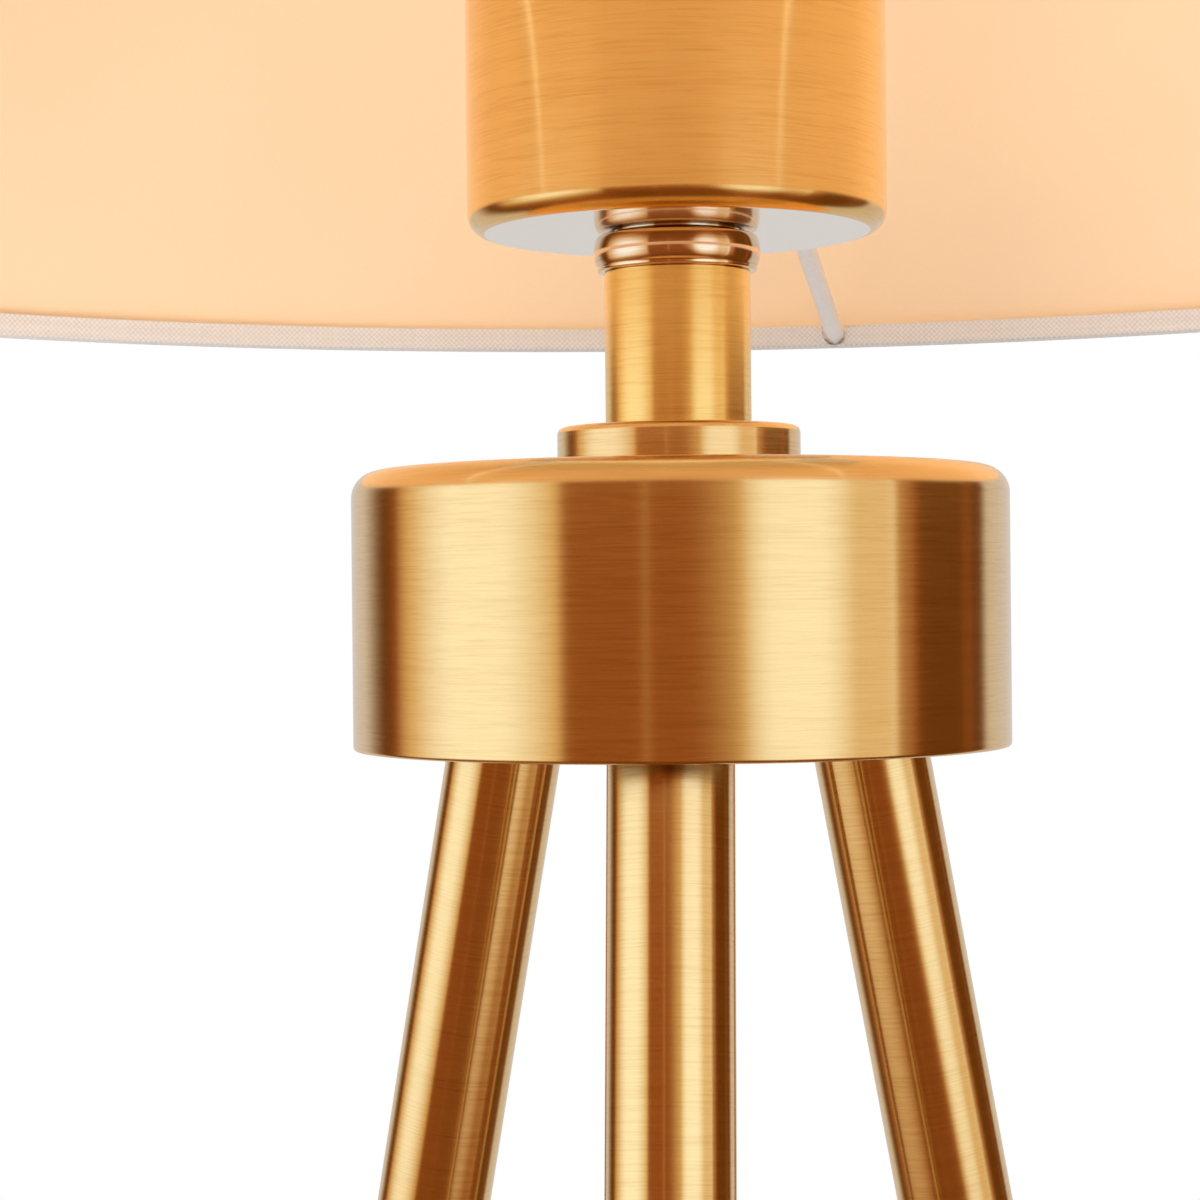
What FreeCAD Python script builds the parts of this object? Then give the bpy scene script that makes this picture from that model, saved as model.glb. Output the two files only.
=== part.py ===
import FreeCAD, Part
import math
import os

# Tripod table lamp: three splayed brass tube legs under a drum-shaped hub, a short stacked
# stem, a brass cup that holds the lampholder, and a wide fabric drum shade on a wire carrier.
#
# Millimetres. +Z is up, Z = 0 is the surface that the feet stand on, the lamp's axis is the
# Z axis, and the front leg points along -Y. Levels are worked out from the floor upwards.

V = FreeCAD.Vector
ORIGIN = V(0, 0, 0)
UP = V(0, 0, 1)
FULL_TURN = 360.0
TINY = 1e-4

# ---------------------------------------------------------------- driving dimensions

# Stance
LEG_DROP = 330.0             # lower rim of the hub above the floor
LEG_SPLAY = 11.6             # degrees from plumb
LEG_CIRCLE_RADIUS = 23.3     # leg axes, where they cross the plane of the hub's lower rim
LEG_INSET = 8.0              # length of leg above that plane, inside the hub
LEG_DIAMETER = 12.7
LEG_WALL = 1.2
LEG_AZIMUTHS = {"front": 270.0, "left": 150.0, "right": 30.0}

# Feet and the fittings in the leg tubes
FOOT_LENGTH = 8.0            # rubber below the tube, along the leg's axis
FOOT_PLUG_LENGTH = 12.0
PLUG_FIT = 0.05              # radial clearance of what is pushed into a tube
INSERT_LENGTH = 16.0
STUD_DIAMETER = 8.0
STUD_IN_LEG = 12.0
STUD_IN_CORE = 8.0
THREAD_FIT = 0.05            # radial clearance that stands for a thread

# Hub
HUB_DIAMETER = 70.0
HUB_HEIGHT = 29.5
HUB_WALL = 1.5
HUB_TOP_ROUND = 2.8
HUB_RIM_BEVEL = 0.4
CORE_FIT = 0.15              # radial clearance of the cast core in the shell
CORE_RECESS = 2.5            # underside of the core above the shell's rim
CORE_FLOOR = 12.0
CORE_SKIRT = 5.0
SEAT_FIT = 0.2               # radial clearance of a leg in its seat

# Threaded tube through the middle, with its nuts and washers
NIPPLE_DIAMETER = 10.0
NIPPLE_WALL = 1.25
NIPPLE_CLEARANCE = 0.25      # radial, in every piece that it passes through
NIPPLE_TAIL = 1.5            # thread left below the lower nut
NIPPLE_REACH = 6.0           # thread above the upper nut, inside the lampholder
NUT_ACROSS_FLATS = 14.0
NUT_THICKNESS = 3.0
WASHER_DIAMETER = 17.0
WASHER_THICKNESS = 1.2
WASHER_ROOM = 1.5            # radial room round a washer in the core
BUSHING_FLANGE_DIAMETER = 14.0
BUSHING_FLANGE_THICKNESS = 2.0
BUSHING_SPIGOT_LENGTH = 6.0
CORD_HOLE_DIAMETER = 6.0

# Stem stack above the hub
COLLAR_DIAMETER = 26.0
COLLAR_HEIGHT = 4.6
COLLAR_BEVEL = 0.5
STEM_DIAMETER = 15.6
STEM_WALL = 1.5
STEM_LENGTH = 16.6
SPIGOT_HEIGHT = 1.5
SPIGOT_FIT = 0.1
BEAD_DIAMETER = 17.8
BEAD_HEIGHT = 3.5
BEAD_SKIRT_HEIGHT = 0.7
BEAD_SKIRT_DIAMETER = 17.0
BEAD_GROOVE_DIAMETER = 15.4
BEAD_GROOVE_HEIGHT = 0.4
NECK_RING_DIAMETER = 17.0
NECK_RING_HEIGHT = 0.6
NECK_RING_BEVEL = 0.2

# Socket cup
CUP_DIAMETER = 44.8
CUP_HEIGHT = 35.0
CUP_WALL = 1.2
CUP_BOTTOM_ROUND = 2.5
CUP_RIM_BEVEL = 0.3

# Lampholder for a 27 mm Edison cap
HOLDER_BOSS_DIAMETER = 17.0
HOLDER_BOSS_HEIGHT = 1.5
HOLDER_FLOOR = 6.8           # boss and shoulder, from the upper nut to the wiring space
WIRING_SPACE = 2.2
WIRING_SPACE_DIAMETER = 26.0
BLOCK_DIAMETER = 32.0
BLOCK_HEIGHT = 6.0
BLOCK_FIT = 0.1
BASE_LIP = 2.0               # wall of the base above the ceramic block
SKIRT_DIAMETER = 39.5
SKIRT_WALL = 1.9
SKIRT_LIP = 2.0
SKIRT_BEVEL = 0.6
SHELL_BORE_DIAMETER = 26.8
SHELL_THICKNESS = 0.4
SHELL_HEIGHT = 25.0
SHELL_FLOOR_HOLE_DIAMETER = 19.0
SHELL_TO_LIP = 0.3           # top of the screw shell below the skirt's lip
LEAF_WIDTH = 6.0
LEAF_THICKNESS = 0.5
LEAF_FOOT_END = 8.0          # from the axis
LEAF_FOOT_START = 3.5
LEAF_CROWN_END = 4.0
LEAF_RISE = 1.6
TERMINAL_SPACING = 16.0
TERMINAL_SHANK_DIAMETER = 3.0
TERMINAL_SHANK_LENGTH = 4.5
TERMINAL_HEAD_DIAMETER = 5.0
TERMINAL_HEAD_HEIGHT = 1.8
TERMINAL_SLOT_WIDTH = 0.8
TERMINAL_SLOT_DEPTH = 0.8

# Bulb with a 60 mm globe
BULB_LENGTH = 107.0
GLOBE_DIAMETER = 60.0
GLOBE_WALL = 0.9
GLOBE_TANGENT_ANGLE = 35.0   # degrees below the globe's widest level, where the neck starts
GLOBE_BANDS = 8              # flat bands that follow the globe from pole to neck
GLOBE_INSIDE_BANDS = 4
NECK_BANDS = 3
NECK_DIAMETER = 27.6
NECK_TOP_HEIGHT = 36.0       # above the contact
CAP_DIAMETER = 26.1
CAP_WALL = 0.5
CAP_TOP_HEIGHT = 27.0        # above the contact
CAP_BOTTOM_HEIGHT = 4.0
TAIL_HEIGHT = 20.0           # lower end of the glass inside the cap
GLASS_IN_CAP_FIT = 0.15
CONTACT_DIAMETER = 9.0
CONTACT_HEIGHT = 1.2
INSULATOR_TOP_DIAMETER = 24.0
CONTACT_GAP = 0.2            # between the bulb's contact and the leaf, so that both turn free

# Ring nut that holds the shade down
RING_NUT_FIT = 0.1
RING_NUT_HEIGHT = 9.0
RING_NUT_DIAMETER = 46.0
RING_FLANGE_DIAMETER = 56.0
RING_FLANGE_THICKNESS = 2.4
RING_GRIPS = 12
RING_GRIP_DIAMETER = 3.0
RING_BEVEL = 0.4
RING_SEAT_GAP = 0.1

# Shade
SHADE_DIAMETER = 330.0
SHADE_HEIGHT = 210.0
SHADE_BELOW_CARRIER = 32.8   # lower edge of the shade under the carrier plate's underside
FABRIC_THICKNESS = 0.5
LINING_THICKNESS = 0.5
LINING_MARGIN = 0.6          # lining short of the fabric's edges
RING_WIRE_DIAMETER = 2.4
RING_WIRE_SIDES = 8          # flats round the hidden hoops' wire
HEM_THICKNESS = 0.5
HEM_WIRE_FIT = 0.1
HEM_HEIGHT = 3.4
HEM_NOTCH_FIT = 0.5
CARRIER_DIAMETER = 60.0
CARRIER_THICKNESS = 1.5
CARRIER_FIT = 0.35           # radial clearance round the lampholder
CARRIER_SEAT_GAP = 0.1
SPOKE_DIAMETER = 3.0
SPOKE_CUP_CLEARANCE = 0.8
SPOKE_BEND_RADIUS = 8.0
SPOKE_AZIMUTH = 83.5         # of the first spoke
SPOKES = 3

# ---------------------------------------------------------------- levels and radii

HUB_RADIUS = HUB_DIAMETER / 2
HUB_BOTTOM = LEG_DROP
HUB_TOP = HUB_BOTTOM + HUB_HEIGHT
HUB_CEILING = HUB_TOP - HUB_WALL
HUB_BORE_RADIUS = HUB_RADIUS - HUB_WALL
CORE_BOTTOM = HUB_BOTTOM + CORE_RECESS
CORE_FLOOR_TOP = CORE_BOTTOM + CORE_FLOOR
CORE_RADIUS = HUB_BORE_RADIUS - CORE_FIT

LEG_RADIUS = LEG_DIAMETER / 2
LEG_BORE_RADIUS = LEG_RADIUS - LEG_WALL
LEG_TO_FLOOR = HUB_BOTTOM / math.cos(math.radians(LEG_SPLAY))
LEG_END = FOOT_LENGTH - LEG_TO_FLOOR
STUD_RADIUS = STUD_DIAMETER / 2

NIPPLE_RADIUS = NIPPLE_DIAMETER / 2
NIPPLE_BORE_RADIUS = NIPPLE_RADIUS - NIPPLE_WALL
NIPPLE_HOLE_RADIUS = NIPPLE_RADIUS + NIPPLE_CLEARANCE
NIPPLE_THREAD_RADIUS = NIPPLE_RADIUS + THREAD_FIT
NIPPLE_BOTTOM = CORE_BOTTOM
LOWER_NUT_BOTTOM = NIPPLE_BOTTOM + NIPPLE_TAIL
LOWER_WASHER_BOTTOM = LOWER_NUT_BOTTOM + NUT_THICKNESS
NUT_RECESS_TOP = LOWER_WASHER_BOTTOM + WASHER_THICKNESS
WASHER_RADIUS = WASHER_DIAMETER / 2

COLLAR_TOP = HUB_TOP + COLLAR_HEIGHT
STEM_TOP = COLLAR_TOP + STEM_LENGTH
STEM_BORE_RADIUS = STEM_DIAMETER / 2 - STEM_WALL
SPIGOT_RADIUS = STEM_BORE_RADIUS - SPIGOT_FIT
BEAD_TOP = STEM_TOP + BEAD_HEIGHT
NECK_RING_TOP = BEAD_TOP + NECK_RING_HEIGHT

CUP_BOTTOM = NECK_RING_TOP
CUP_FLOOR = CUP_BOTTOM + CUP_WALL
CUP_TOP = CUP_BOTTOM + CUP_HEIGHT
CUP_RADIUS = CUP_DIAMETER / 2

UPPER_NUT_BOTTOM = CUP_FLOOR + WASHER_THICKNESS
UPPER_NUT_TOP = UPPER_NUT_BOTTOM + NUT_THICKNESS
NIPPLE_TOP = UPPER_NUT_TOP + NIPPLE_REACH
HOLDER_FLOOR_TOP = UPPER_NUT_TOP + HOLDER_FLOOR
BLOCK_BOTTOM = HOLDER_FLOOR_TOP + WIRING_SPACE
BLOCK_TOP = BLOCK_BOTTOM + BLOCK_HEIGHT
BASE_TOP = BLOCK_TOP + BASE_LIP
SKIRT_RADIUS = SKIRT_DIAMETER / 2
SKIRT_BORE_RADIUS = SKIRT_RADIUS - SKIRT_WALL
BASE_RADIUS = SKIRT_BORE_RADIUS - THREAD_FIT
SHELL_BORE_RADIUS = SHELL_BORE_DIAMETER / 2
SHELL_RADIUS = SHELL_BORE_RADIUS + SHELL_THICKNESS
SHELL_TOP = BLOCK_TOP + SHELL_HEIGHT
SKIRT_LIP_BOTTOM = SHELL_TOP + SHELL_TO_LIP
SKIRT_TOP = SKIRT_LIP_BOTTOM + SKIRT_LIP
CONTACT_LEVEL = BLOCK_TOP + LEAF_RISE + CONTACT_GAP

CARRIER_BOTTOM = CUP_TOP + CARRIER_SEAT_GAP
CARRIER_TOP = CARRIER_BOTTOM + CARRIER_THICKNESS
CARRIER_BORE_RADIUS = SKIRT_RADIUS + CARRIER_FIT
CARRIER_RADIUS = CARRIER_DIAMETER / 2
RING_NUT_BOTTOM = CARRIER_TOP + RING_SEAT_GAP

SHADE_BOTTOM = CARRIER_BOTTOM - SHADE_BELOW_CARRIER
SHADE_TOP = SHADE_BOTTOM + SHADE_HEIGHT
SHADE_RADIUS = SHADE_DIAMETER / 2
FABRIC_BORE_RADIUS = SHADE_RADIUS - FABRIC_THICKNESS
LINING_BORE_RADIUS = FABRIC_BORE_RADIUS - LINING_THICKNESS
RING_WIRE_RADIUS = RING_WIRE_DIAMETER / 2
WIRE_RING_RADIUS = LINING_BORE_RADIUS - HEM_WIRE_FIT - RING_WIRE_RADIUS
RING_INSET = HEM_THICKNESS + HEM_WIRE_FIT + RING_WIRE_RADIUS
LOWER_RING_LEVEL = SHADE_BOTTOM + RING_INSET
UPPER_RING_LEVEL = SHADE_TOP - RING_INSET
HEM_BORE_RADIUS = WIRE_RING_RADIUS - RING_WIRE_RADIUS - HEM_WIRE_FIT - HEM_THICKNESS
SPOKE_RADIUS = SPOKE_DIAMETER / 2


# ---------------------------------------------------------------- shaping helpers

def disc(radius, low, high):
    """Solid cylinder on the lamp's axis between two levels."""
    return Part.makeCylinder(radius, high - low, V(0, 0, low))


def band(bore, radius, low, high):
    """Ring on the lamp's axis between two radii and two levels."""
    return disc(radius, low, high).cut(disc(bore, low, high))


def rims(shape, radius, level):
    """Circular edges of one radius at one level."""
    found = []
    for edge in shape.Edges:
        if not isinstance(edge.Curve, Part.Circle):
            continue
        off_radius = abs(edge.Curve.Radius - radius)
        off_level = abs(edge.Curve.Center.z - level)
        if off_radius < TINY and off_level < TINY:
            found.append(edge)
    return found


def rounded(shape, amount, radius, level):
    """Shape with its circular edge of that radius and level rounded."""
    return shape.makeFillet(amount, rims(shape, radius, level))


def bevelled(shape, amount, radius, level):
    """Shape with its circular edge of that radius and level bevelled."""
    return shape.makeChamfer(amount, rims(shape, radius, level))


def line(start, end):
    """Straight edge between two (radius, level) points of a turned outline."""
    return Part.makeLine(V(start[0], 0, start[1]), V(end[0], 0, end[1]))


def arc(start, middle, end):
    """Arc through three (radius, level) points of a turned outline."""
    points = [V(radius, 0, level) for radius, level in (start, middle, end)]
    return Part.Arc(*points).toShape()


def turned(edges):
    """Solid of revolution about the lamp's axis from a closed outline."""
    face = Part.Face(Part.Wire(edges))
    return face.revolve(ORIGIN, UP, FULL_TURN)


def outline(points):
    """Straight edges that join (radius, level) points and close on the first."""
    return [line(start, end) for start, end in zip(points, points[1:] + points[:1])]


def hexagon(across_flats, low, high):
    """Hexagonal prism on the lamp's axis."""
    corner = across_flats / math.sqrt(3)
    angles = [math.radians(60 * side) for side in range(6)]
    points = [V(corner * math.cos(angle), corner * math.sin(angle), low) for angle in angles]
    return Part.Face(Part.makePolygon(points + points[:1])).extrude(V(0, 0, high - low))


def on_leg(shape, azimuth):
    """Moves a shape from a leg's own frame into the lamp's.

    The leg's frame has its origin where the leg's axis crosses the plane of the hub's rim,
    with +Z up the leg.
    """
    moved = shape.copy()
    moved.rotate(ORIGIN, V(0, 1, 0), -LEG_SPLAY)
    moved.translate(V(LEG_CIRCLE_RADIUS, 0, HUB_BOTTOM))
    moved.rotate(ORIGIN, UP, azimuth)
    return moved


def on_every_leg(shape):
    """Copies of a shape from a leg's frame, one on each leg."""
    return [on_leg(shape, azimuth) for azimuth in LEG_AZIMUTHS.values()]


def around(shape, count, first=0.0):
    """Evenly spaced copies of a shape round the lamp's axis."""
    copies = []
    for index in range(count):
        copy = shape.copy()
        copy.rotate(ORIGIN, UP, first + index * FULL_TURN / count)
        copies.append(copy)
    return copies


# ---------------------------------------------------------------- legs and feet

def leg_tube(azimuth):
    """Brass tube from its seat in the core down to the rubber foot."""
    return on_leg(band(LEG_BORE_RADIUS, LEG_RADIUS, LEG_END, LEG_INSET), azimuth)


def foot(azimuth):
    """Rubber tip that plugs into the tube and is cut level where it stands."""
    tip = disc(LEG_RADIUS, LEG_END - 2 * FOOT_LENGTH, LEG_END)
    plug = disc(LEG_BORE_RADIUS - PLUG_FIT, LEG_END, LEG_END + FOOT_PLUG_LENGTH)
    tip = on_leg(tip.fuse(plug), azimuth)
    reach = 4 * (LEG_CIRCLE_RADIUS + LEG_DROP)
    floor = Part.makeBox(reach, reach, reach, V(-reach / 2, -reach / 2, -reach))
    return tip.cut(floor)


def leg_inserts():
    """Threaded plugs pressed into the tops of the tubes."""
    radius = LEG_BORE_RADIUS - PLUG_FIT
    insert = band(STUD_RADIUS + THREAD_FIT, radius, LEG_INSET - INSERT_LENGTH, LEG_INSET)
    return Part.makeCompound(on_every_leg(insert))


def leg_studs():
    """Threaded studs that screw the legs into the core."""
    stud = disc(STUD_RADIUS, LEG_INSET - STUD_IN_LEG, LEG_INSET + STUD_IN_CORE)
    return Part.makeCompound(on_every_leg(stud))


# ---------------------------------------------------------------- hub

def hub_shell():
    """Drawn brass drum, open below, with a soft upper edge and a crisp lower rim."""
    outside = rounded(disc(HUB_RADIUS, HUB_BOTTOM, HUB_TOP), HUB_TOP_ROUND, HUB_RADIUS, HUB_TOP)
    outside = bevelled(outside, HUB_RIM_BEVEL, HUB_RADIUS, HUB_BOTTOM)
    inside = disc(HUB_BORE_RADIUS, HUB_BOTTOM, HUB_CEILING)
    inside = bevelled(inside, max(HUB_TOP_ROUND - HUB_WALL, HUB_RIM_BEVEL), HUB_BORE_RADIUS, HUB_CEILING)
    return outside.cut(inside).cut(disc(NIPPLE_HOLE_RADIUS, HUB_CEILING, HUB_TOP))


def hub_core():
    """Cast core that stiffens the drum, with three slanting leg seats in its floor."""
    core = disc(CORE_RADIUS, CORE_BOTTOM, HUB_CEILING)
    core = bevelled(core, max(HUB_TOP_ROUND, HUB_WALL), CORE_RADIUS, HUB_CEILING)
    core = core.cut(disc(CORE_RADIUS - CORE_SKIRT, CORE_FLOOR_TOP, HUB_CEILING))
    core = core.cut(disc(NIPPLE_HOLE_RADIUS, CORE_BOTTOM, CORE_FLOOR_TOP))
    core = core.cut(disc(WASHER_RADIUS + WASHER_ROOM, CORE_BOTTOM, NUT_RECESS_TOP))
    seat = disc(LEG_RADIUS + SEAT_FIT, -LEG_INSET, LEG_INSET)
    thread = disc(STUD_RADIUS + THREAD_FIT, LEG_INSET, LEG_INSET + 2 * CORE_FLOOR)
    for cutter in on_every_leg(seat.fuse(thread)):
        core = core.cut(cutter)
    return core


# ---------------------------------------------------------------- middle tube and fasteners

def nipple():
    """Hollow threaded tube that draws hub, stem and cup together."""
    return band(NIPPLE_BORE_RADIUS, NIPPLE_RADIUS, NIPPLE_BOTTOM, NIPPLE_TOP)


def nipple_nut(low):
    """Thin hexagon nut on the threaded tube."""
    prism = hexagon(NUT_ACROSS_FLATS, low, low + NUT_THICKNESS)
    return prism.cut(disc(NIPPLE_THREAD_RADIUS, low, low + NUT_THICKNESS))


def nipple_washer(low):
    """Flat washer under a nut."""
    return band(NIPPLE_HOLE_RADIUS, WASHER_RADIUS, low, low + WASHER_THICKNESS)


def cord_bushing():
    """Smooth plastic bushing in the tube's lower end, where a cord comes in."""
    flange_bottom = NIPPLE_BOTTOM - BUSHING_FLANGE_THICKNESS
    flange = disc(BUSHING_FLANGE_DIAMETER / 2, flange_bottom, NIPPLE_BOTTOM)
    flange = bevelled(flange, BUSHING_FLANGE_THICKNESS / 2, BUSHING_FLANGE_DIAMETER / 2, flange_bottom)
    spigot_top = NIPPLE_BOTTOM + BUSHING_SPIGOT_LENGTH
    spigot = disc(NIPPLE_BORE_RADIUS - PLUG_FIT, NIPPLE_BOTTOM, spigot_top)
    hole = disc(CORD_HOLE_DIAMETER / 2, flange_bottom, spigot_top)
    return flange.fuse(spigot).cut(hole)


# ---------------------------------------------------------------- stem

def collar():
    """Turned disc on the hub, with a spigot that centres the stem."""
    radius = COLLAR_DIAMETER / 2
    body = bevelled(disc(radius, HUB_TOP, COLLAR_TOP), COLLAR_BEVEL, radius, COLLAR_TOP)
    spigot = disc(SPIGOT_RADIUS, COLLAR_TOP, COLLAR_TOP + SPIGOT_HEIGHT)
    hole = disc(NIPPLE_HOLE_RADIUS, HUB_TOP, COLLAR_TOP + SPIGOT_HEIGHT)
    return body.fuse(spigot).cut(hole)


def stem_tube():
    """Plain brass tube between the collar and the bead."""
    return band(STEM_BORE_RADIUS, STEM_DIAMETER / 2, COLLAR_TOP, STEM_TOP)


def bead_ring():
    """Polished bead: a low skirt, a bulging belly and a fine groove on top."""
    skirt = BEAD_SKIRT_DIAMETER / 2
    belly = BEAD_DIAMETER / 2
    groove = BEAD_GROOVE_DIAMETER / 2
    belly_bottom = STEM_TOP + BEAD_SKIRT_HEIGHT
    belly_top = BEAD_TOP - BEAD_GROOVE_HEIGHT
    belly_middle = (belly_bottom + belly_top) / 2
    spigot_bottom = STEM_TOP - SPIGOT_HEIGHT
    edges = [
        line((NIPPLE_HOLE_RADIUS, spigot_bottom), (SPIGOT_RADIUS, spigot_bottom)),
        line((SPIGOT_RADIUS, spigot_bottom), (SPIGOT_RADIUS, STEM_TOP)),
        line((SPIGOT_RADIUS, STEM_TOP), (skirt, STEM_TOP)),
        line((skirt, STEM_TOP), (skirt, belly_bottom)),
        arc((skirt, belly_bottom), (belly, belly_middle), (groove, belly_top)),
        line((groove, belly_top), (groove, BEAD_TOP)),
        line((groove, BEAD_TOP), (NIPPLE_HOLE_RADIUS, BEAD_TOP)),
        line((NIPPLE_HOLE_RADIUS, BEAD_TOP), (NIPPLE_HOLE_RADIUS, spigot_bottom)),
    ]
    return turned(edges)


def neck_ring():
    """Thin polished ring under the cup."""
    radius = NECK_RING_DIAMETER / 2
    ring = band(NIPPLE_HOLE_RADIUS, radius, BEAD_TOP, NECK_RING_TOP)
    ring = bevelled(ring, NECK_RING_BEVEL, radius, BEAD_TOP)
    return bevelled(ring, NECK_RING_BEVEL, radius, NECK_RING_TOP)


def socket_cup():
    """Spun brass cup round the lampholder, whose rim carries the shade."""
    outside = disc(CUP_RADIUS, CUP_BOTTOM, CUP_TOP)
    outside = rounded(outside, CUP_BOTTOM_ROUND, CUP_RADIUS, CUP_BOTTOM)
    inside = disc(CUP_RADIUS - CUP_WALL, CUP_FLOOR, CUP_TOP)
    inside_bevel = max(CUP_BOTTOM_ROUND - CUP_WALL, CUP_RIM_BEVEL)
    inside = bevelled(inside, inside_bevel, CUP_RADIUS - CUP_WALL, CUP_FLOOR)
    cup = outside.cut(inside).cut(disc(NIPPLE_HOLE_RADIUS, CUP_BOTTOM, CUP_FLOOR))
    return bevelled(cup, CUP_RIM_BEVEL, CUP_RADIUS, CUP_TOP)


# ---------------------------------------------------------------- lampholder

def holder_base():
    """Moulded base that screws onto the threaded tube and carries the ceramic block."""
    boss = HOLDER_BOSS_DIAMETER / 2
    boss_top = UPPER_NUT_TOP + HOLDER_BOSS_HEIGHT
    body = turned(outline([
        (NIPPLE_THREAD_RADIUS, UPPER_NUT_TOP),
        (boss, UPPER_NUT_TOP),
        (boss, boss_top),
        (BASE_RADIUS, HOLDER_FLOOR_TOP),
        (BASE_RADIUS, BASE_TOP),
        (BLOCK_DIAMETER / 2 + BLOCK_FIT, BASE_TOP),
        (BLOCK_DIAMETER / 2 + BLOCK_FIT, BLOCK_BOTTOM),
        (WIRING_SPACE_DIAMETER / 2, BLOCK_BOTTOM),
        (WIRING_SPACE_DIAMETER / 2, HOLDER_FLOOR_TOP),
        (NIPPLE_THREAD_RADIUS, HOLDER_FLOOR_TOP),
    ]))
    return body


def terminal_places(shape):
    """Copies of a shape at the two terminals, which lie either side of the axis."""
    places = []
    for side in (-1, 1):
        place = shape.copy()
        place.translate(V(0, side * TERMINAL_SPACING / 2, 0))
        places.append(place)
    return places


def ceramic_block():
    """Ceramic insulator with threaded holes for the terminal screws."""
    block = disc(BLOCK_DIAMETER / 2, BLOCK_BOTTOM, BLOCK_TOP)
    hole = disc(TERMINAL_SHANK_DIAMETER / 2 + THREAD_FIT, BLOCK_BOTTOM, BLOCK_BOTTOM + TERMINAL_SHANK_LENGTH)
    for cutter in terminal_places(hole):
        block = block.cut(cutter)
    return block


def terminal_screws():
    """Two slotted screws in the underside of the ceramic block."""
    head_bottom = BLOCK_BOTTOM - TERMINAL_HEAD_HEIGHT
    head_radius = TERMINAL_HEAD_DIAMETER / 2
    screw = disc(head_radius, head_bottom, BLOCK_BOTTOM)
    screw = screw.fuse(disc(TERMINAL_SHANK_DIAMETER / 2, BLOCK_BOTTOM, BLOCK_BOTTOM + TERMINAL_SHANK_LENGTH))
    corner = V(-head_radius, -TERMINAL_SLOT_WIDTH / 2, head_bottom)
    slot = Part.makeBox(TERMINAL_HEAD_DIAMETER, TERMINAL_SLOT_WIDTH, TERMINAL_SLOT_DEPTH, corner)
    return Part.makeCompound(terminal_places(screw.cut(slot)))


def centre_contact():
    """Sprung leaf on the block that meets the bulb's contact."""
    top = BLOCK_TOP + LEAF_RISE
    under = top - LEAF_THICKNESS
    foot_top = BLOCK_TOP + LEAF_THICKNESS
    points = [
        (-LEAF_FOOT_END, BLOCK_TOP),
        (-LEAF_FOOT_START, BLOCK_TOP),
        (-LEAF_FOOT_START / 4, under),
        (LEAF_CROWN_END, under),
        (LEAF_CROWN_END, top),
        (-LEAF_FOOT_START / 4 - LEAF_THICKNESS / 2, top),
        (-LEAF_FOOT_START - LEAF_THICKNESS / 2, foot_top),
        (-LEAF_FOOT_END, foot_top),
    ]
    leaf = Part.Face(Part.Wire(outline(points))).extrude(V(0, LEAF_WIDTH, 0))
    leaf.translate(V(0, -LEAF_WIDTH / 2, 0))
    return leaf


def screw_shell():
    """Thin metal liner that takes the bulb's cap, open in its floor for the leaf."""
    shell = disc(SHELL_RADIUS, BLOCK_TOP, SHELL_TOP)
    shell = shell.cut(disc(SHELL_BORE_RADIUS, BLOCK_TOP + SHELL_THICKNESS, SHELL_TOP))
    return shell.cut(disc(SHELL_FLOOR_HOLE_DIAMETER / 2, BLOCK_TOP, BLOCK_TOP + SHELL_THICKNESS))


def holder_skirt():
    """Outer sleeve on the base, threaded outside for the ring nut."""
    skirt = disc(SKIRT_RADIUS, HOLDER_FLOOR_TOP, SKIRT_TOP)
    skirt = bevelled(skirt, SKIRT_BEVEL, SKIRT_RADIUS, SKIRT_TOP)
    skirt = skirt.cut(disc(SKIRT_BORE_RADIUS, HOLDER_FLOOR_TOP, SKIRT_LIP_BOTTOM))
    return skirt.cut(disc(SHELL_RADIUS, SKIRT_LIP_BOTTOM, SKIRT_TOP))


# ---------------------------------------------------------------- bulb

def globe_solid(inset, bands):
    """Globe and neck shrunk evenly by an inset, down to the glass's lower end."""
    radius = GLOBE_DIAMETER / 2 - inset
    centre = CONTACT_LEVEL + BULB_LENGTH - GLOBE_DIAMETER / 2
    lowest = math.radians(-GLOBE_TANGENT_ANGLE)
    points = []
    for band_index in range(bands + 1):
        angle = math.pi / 2 + (lowest - math.pi / 2) * band_index / bands
        points.append((radius * math.cos(angle), centre + radius * math.sin(angle)))
    start_radius, start_level = points[-1]
    neck_radius = NECK_DIAMETER / 2 - inset
    neck_level = CONTACT_LEVEL + NECK_TOP_HEIGHT
    for band_index in range(1, NECK_BANDS + 1):
        share = band_index / NECK_BANDS
        narrowing = (1 - share) ** 2
        level = start_level + (neck_level - start_level) * share
        points.append((neck_radius + (start_radius - neck_radius) * narrowing, level))
    tail_radius = CAP_DIAMETER / 2 - CAP_WALL - GLASS_IN_CAP_FIT - inset
    points.append((tail_radius, CONTACT_LEVEL + CAP_TOP_HEIGHT))
    points.append((tail_radius, CONTACT_LEVEL + TAIL_HEIGHT))
    points.append((0, CONTACT_LEVEL + TAIL_HEIGHT))
    points[0] = (0, centre + radius)
    return turned(outline(points))


def bulb_globe():
    """Opal glass globe, open at its lower end inside the cap."""
    return globe_solid(0, GLOBE_BANDS).cut(globe_solid(GLOBE_WALL, GLOBE_INSIDE_BANDS))


def bulb_cap():
    """Metal cap that screws into the lampholder."""
    low = CONTACT_LEVEL + CAP_BOTTOM_HEIGHT
    high = CONTACT_LEVEL + CAP_TOP_HEIGHT
    return band(CAP_DIAMETER / 2 - CAP_WALL, CAP_DIAMETER / 2, low, high)


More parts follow.
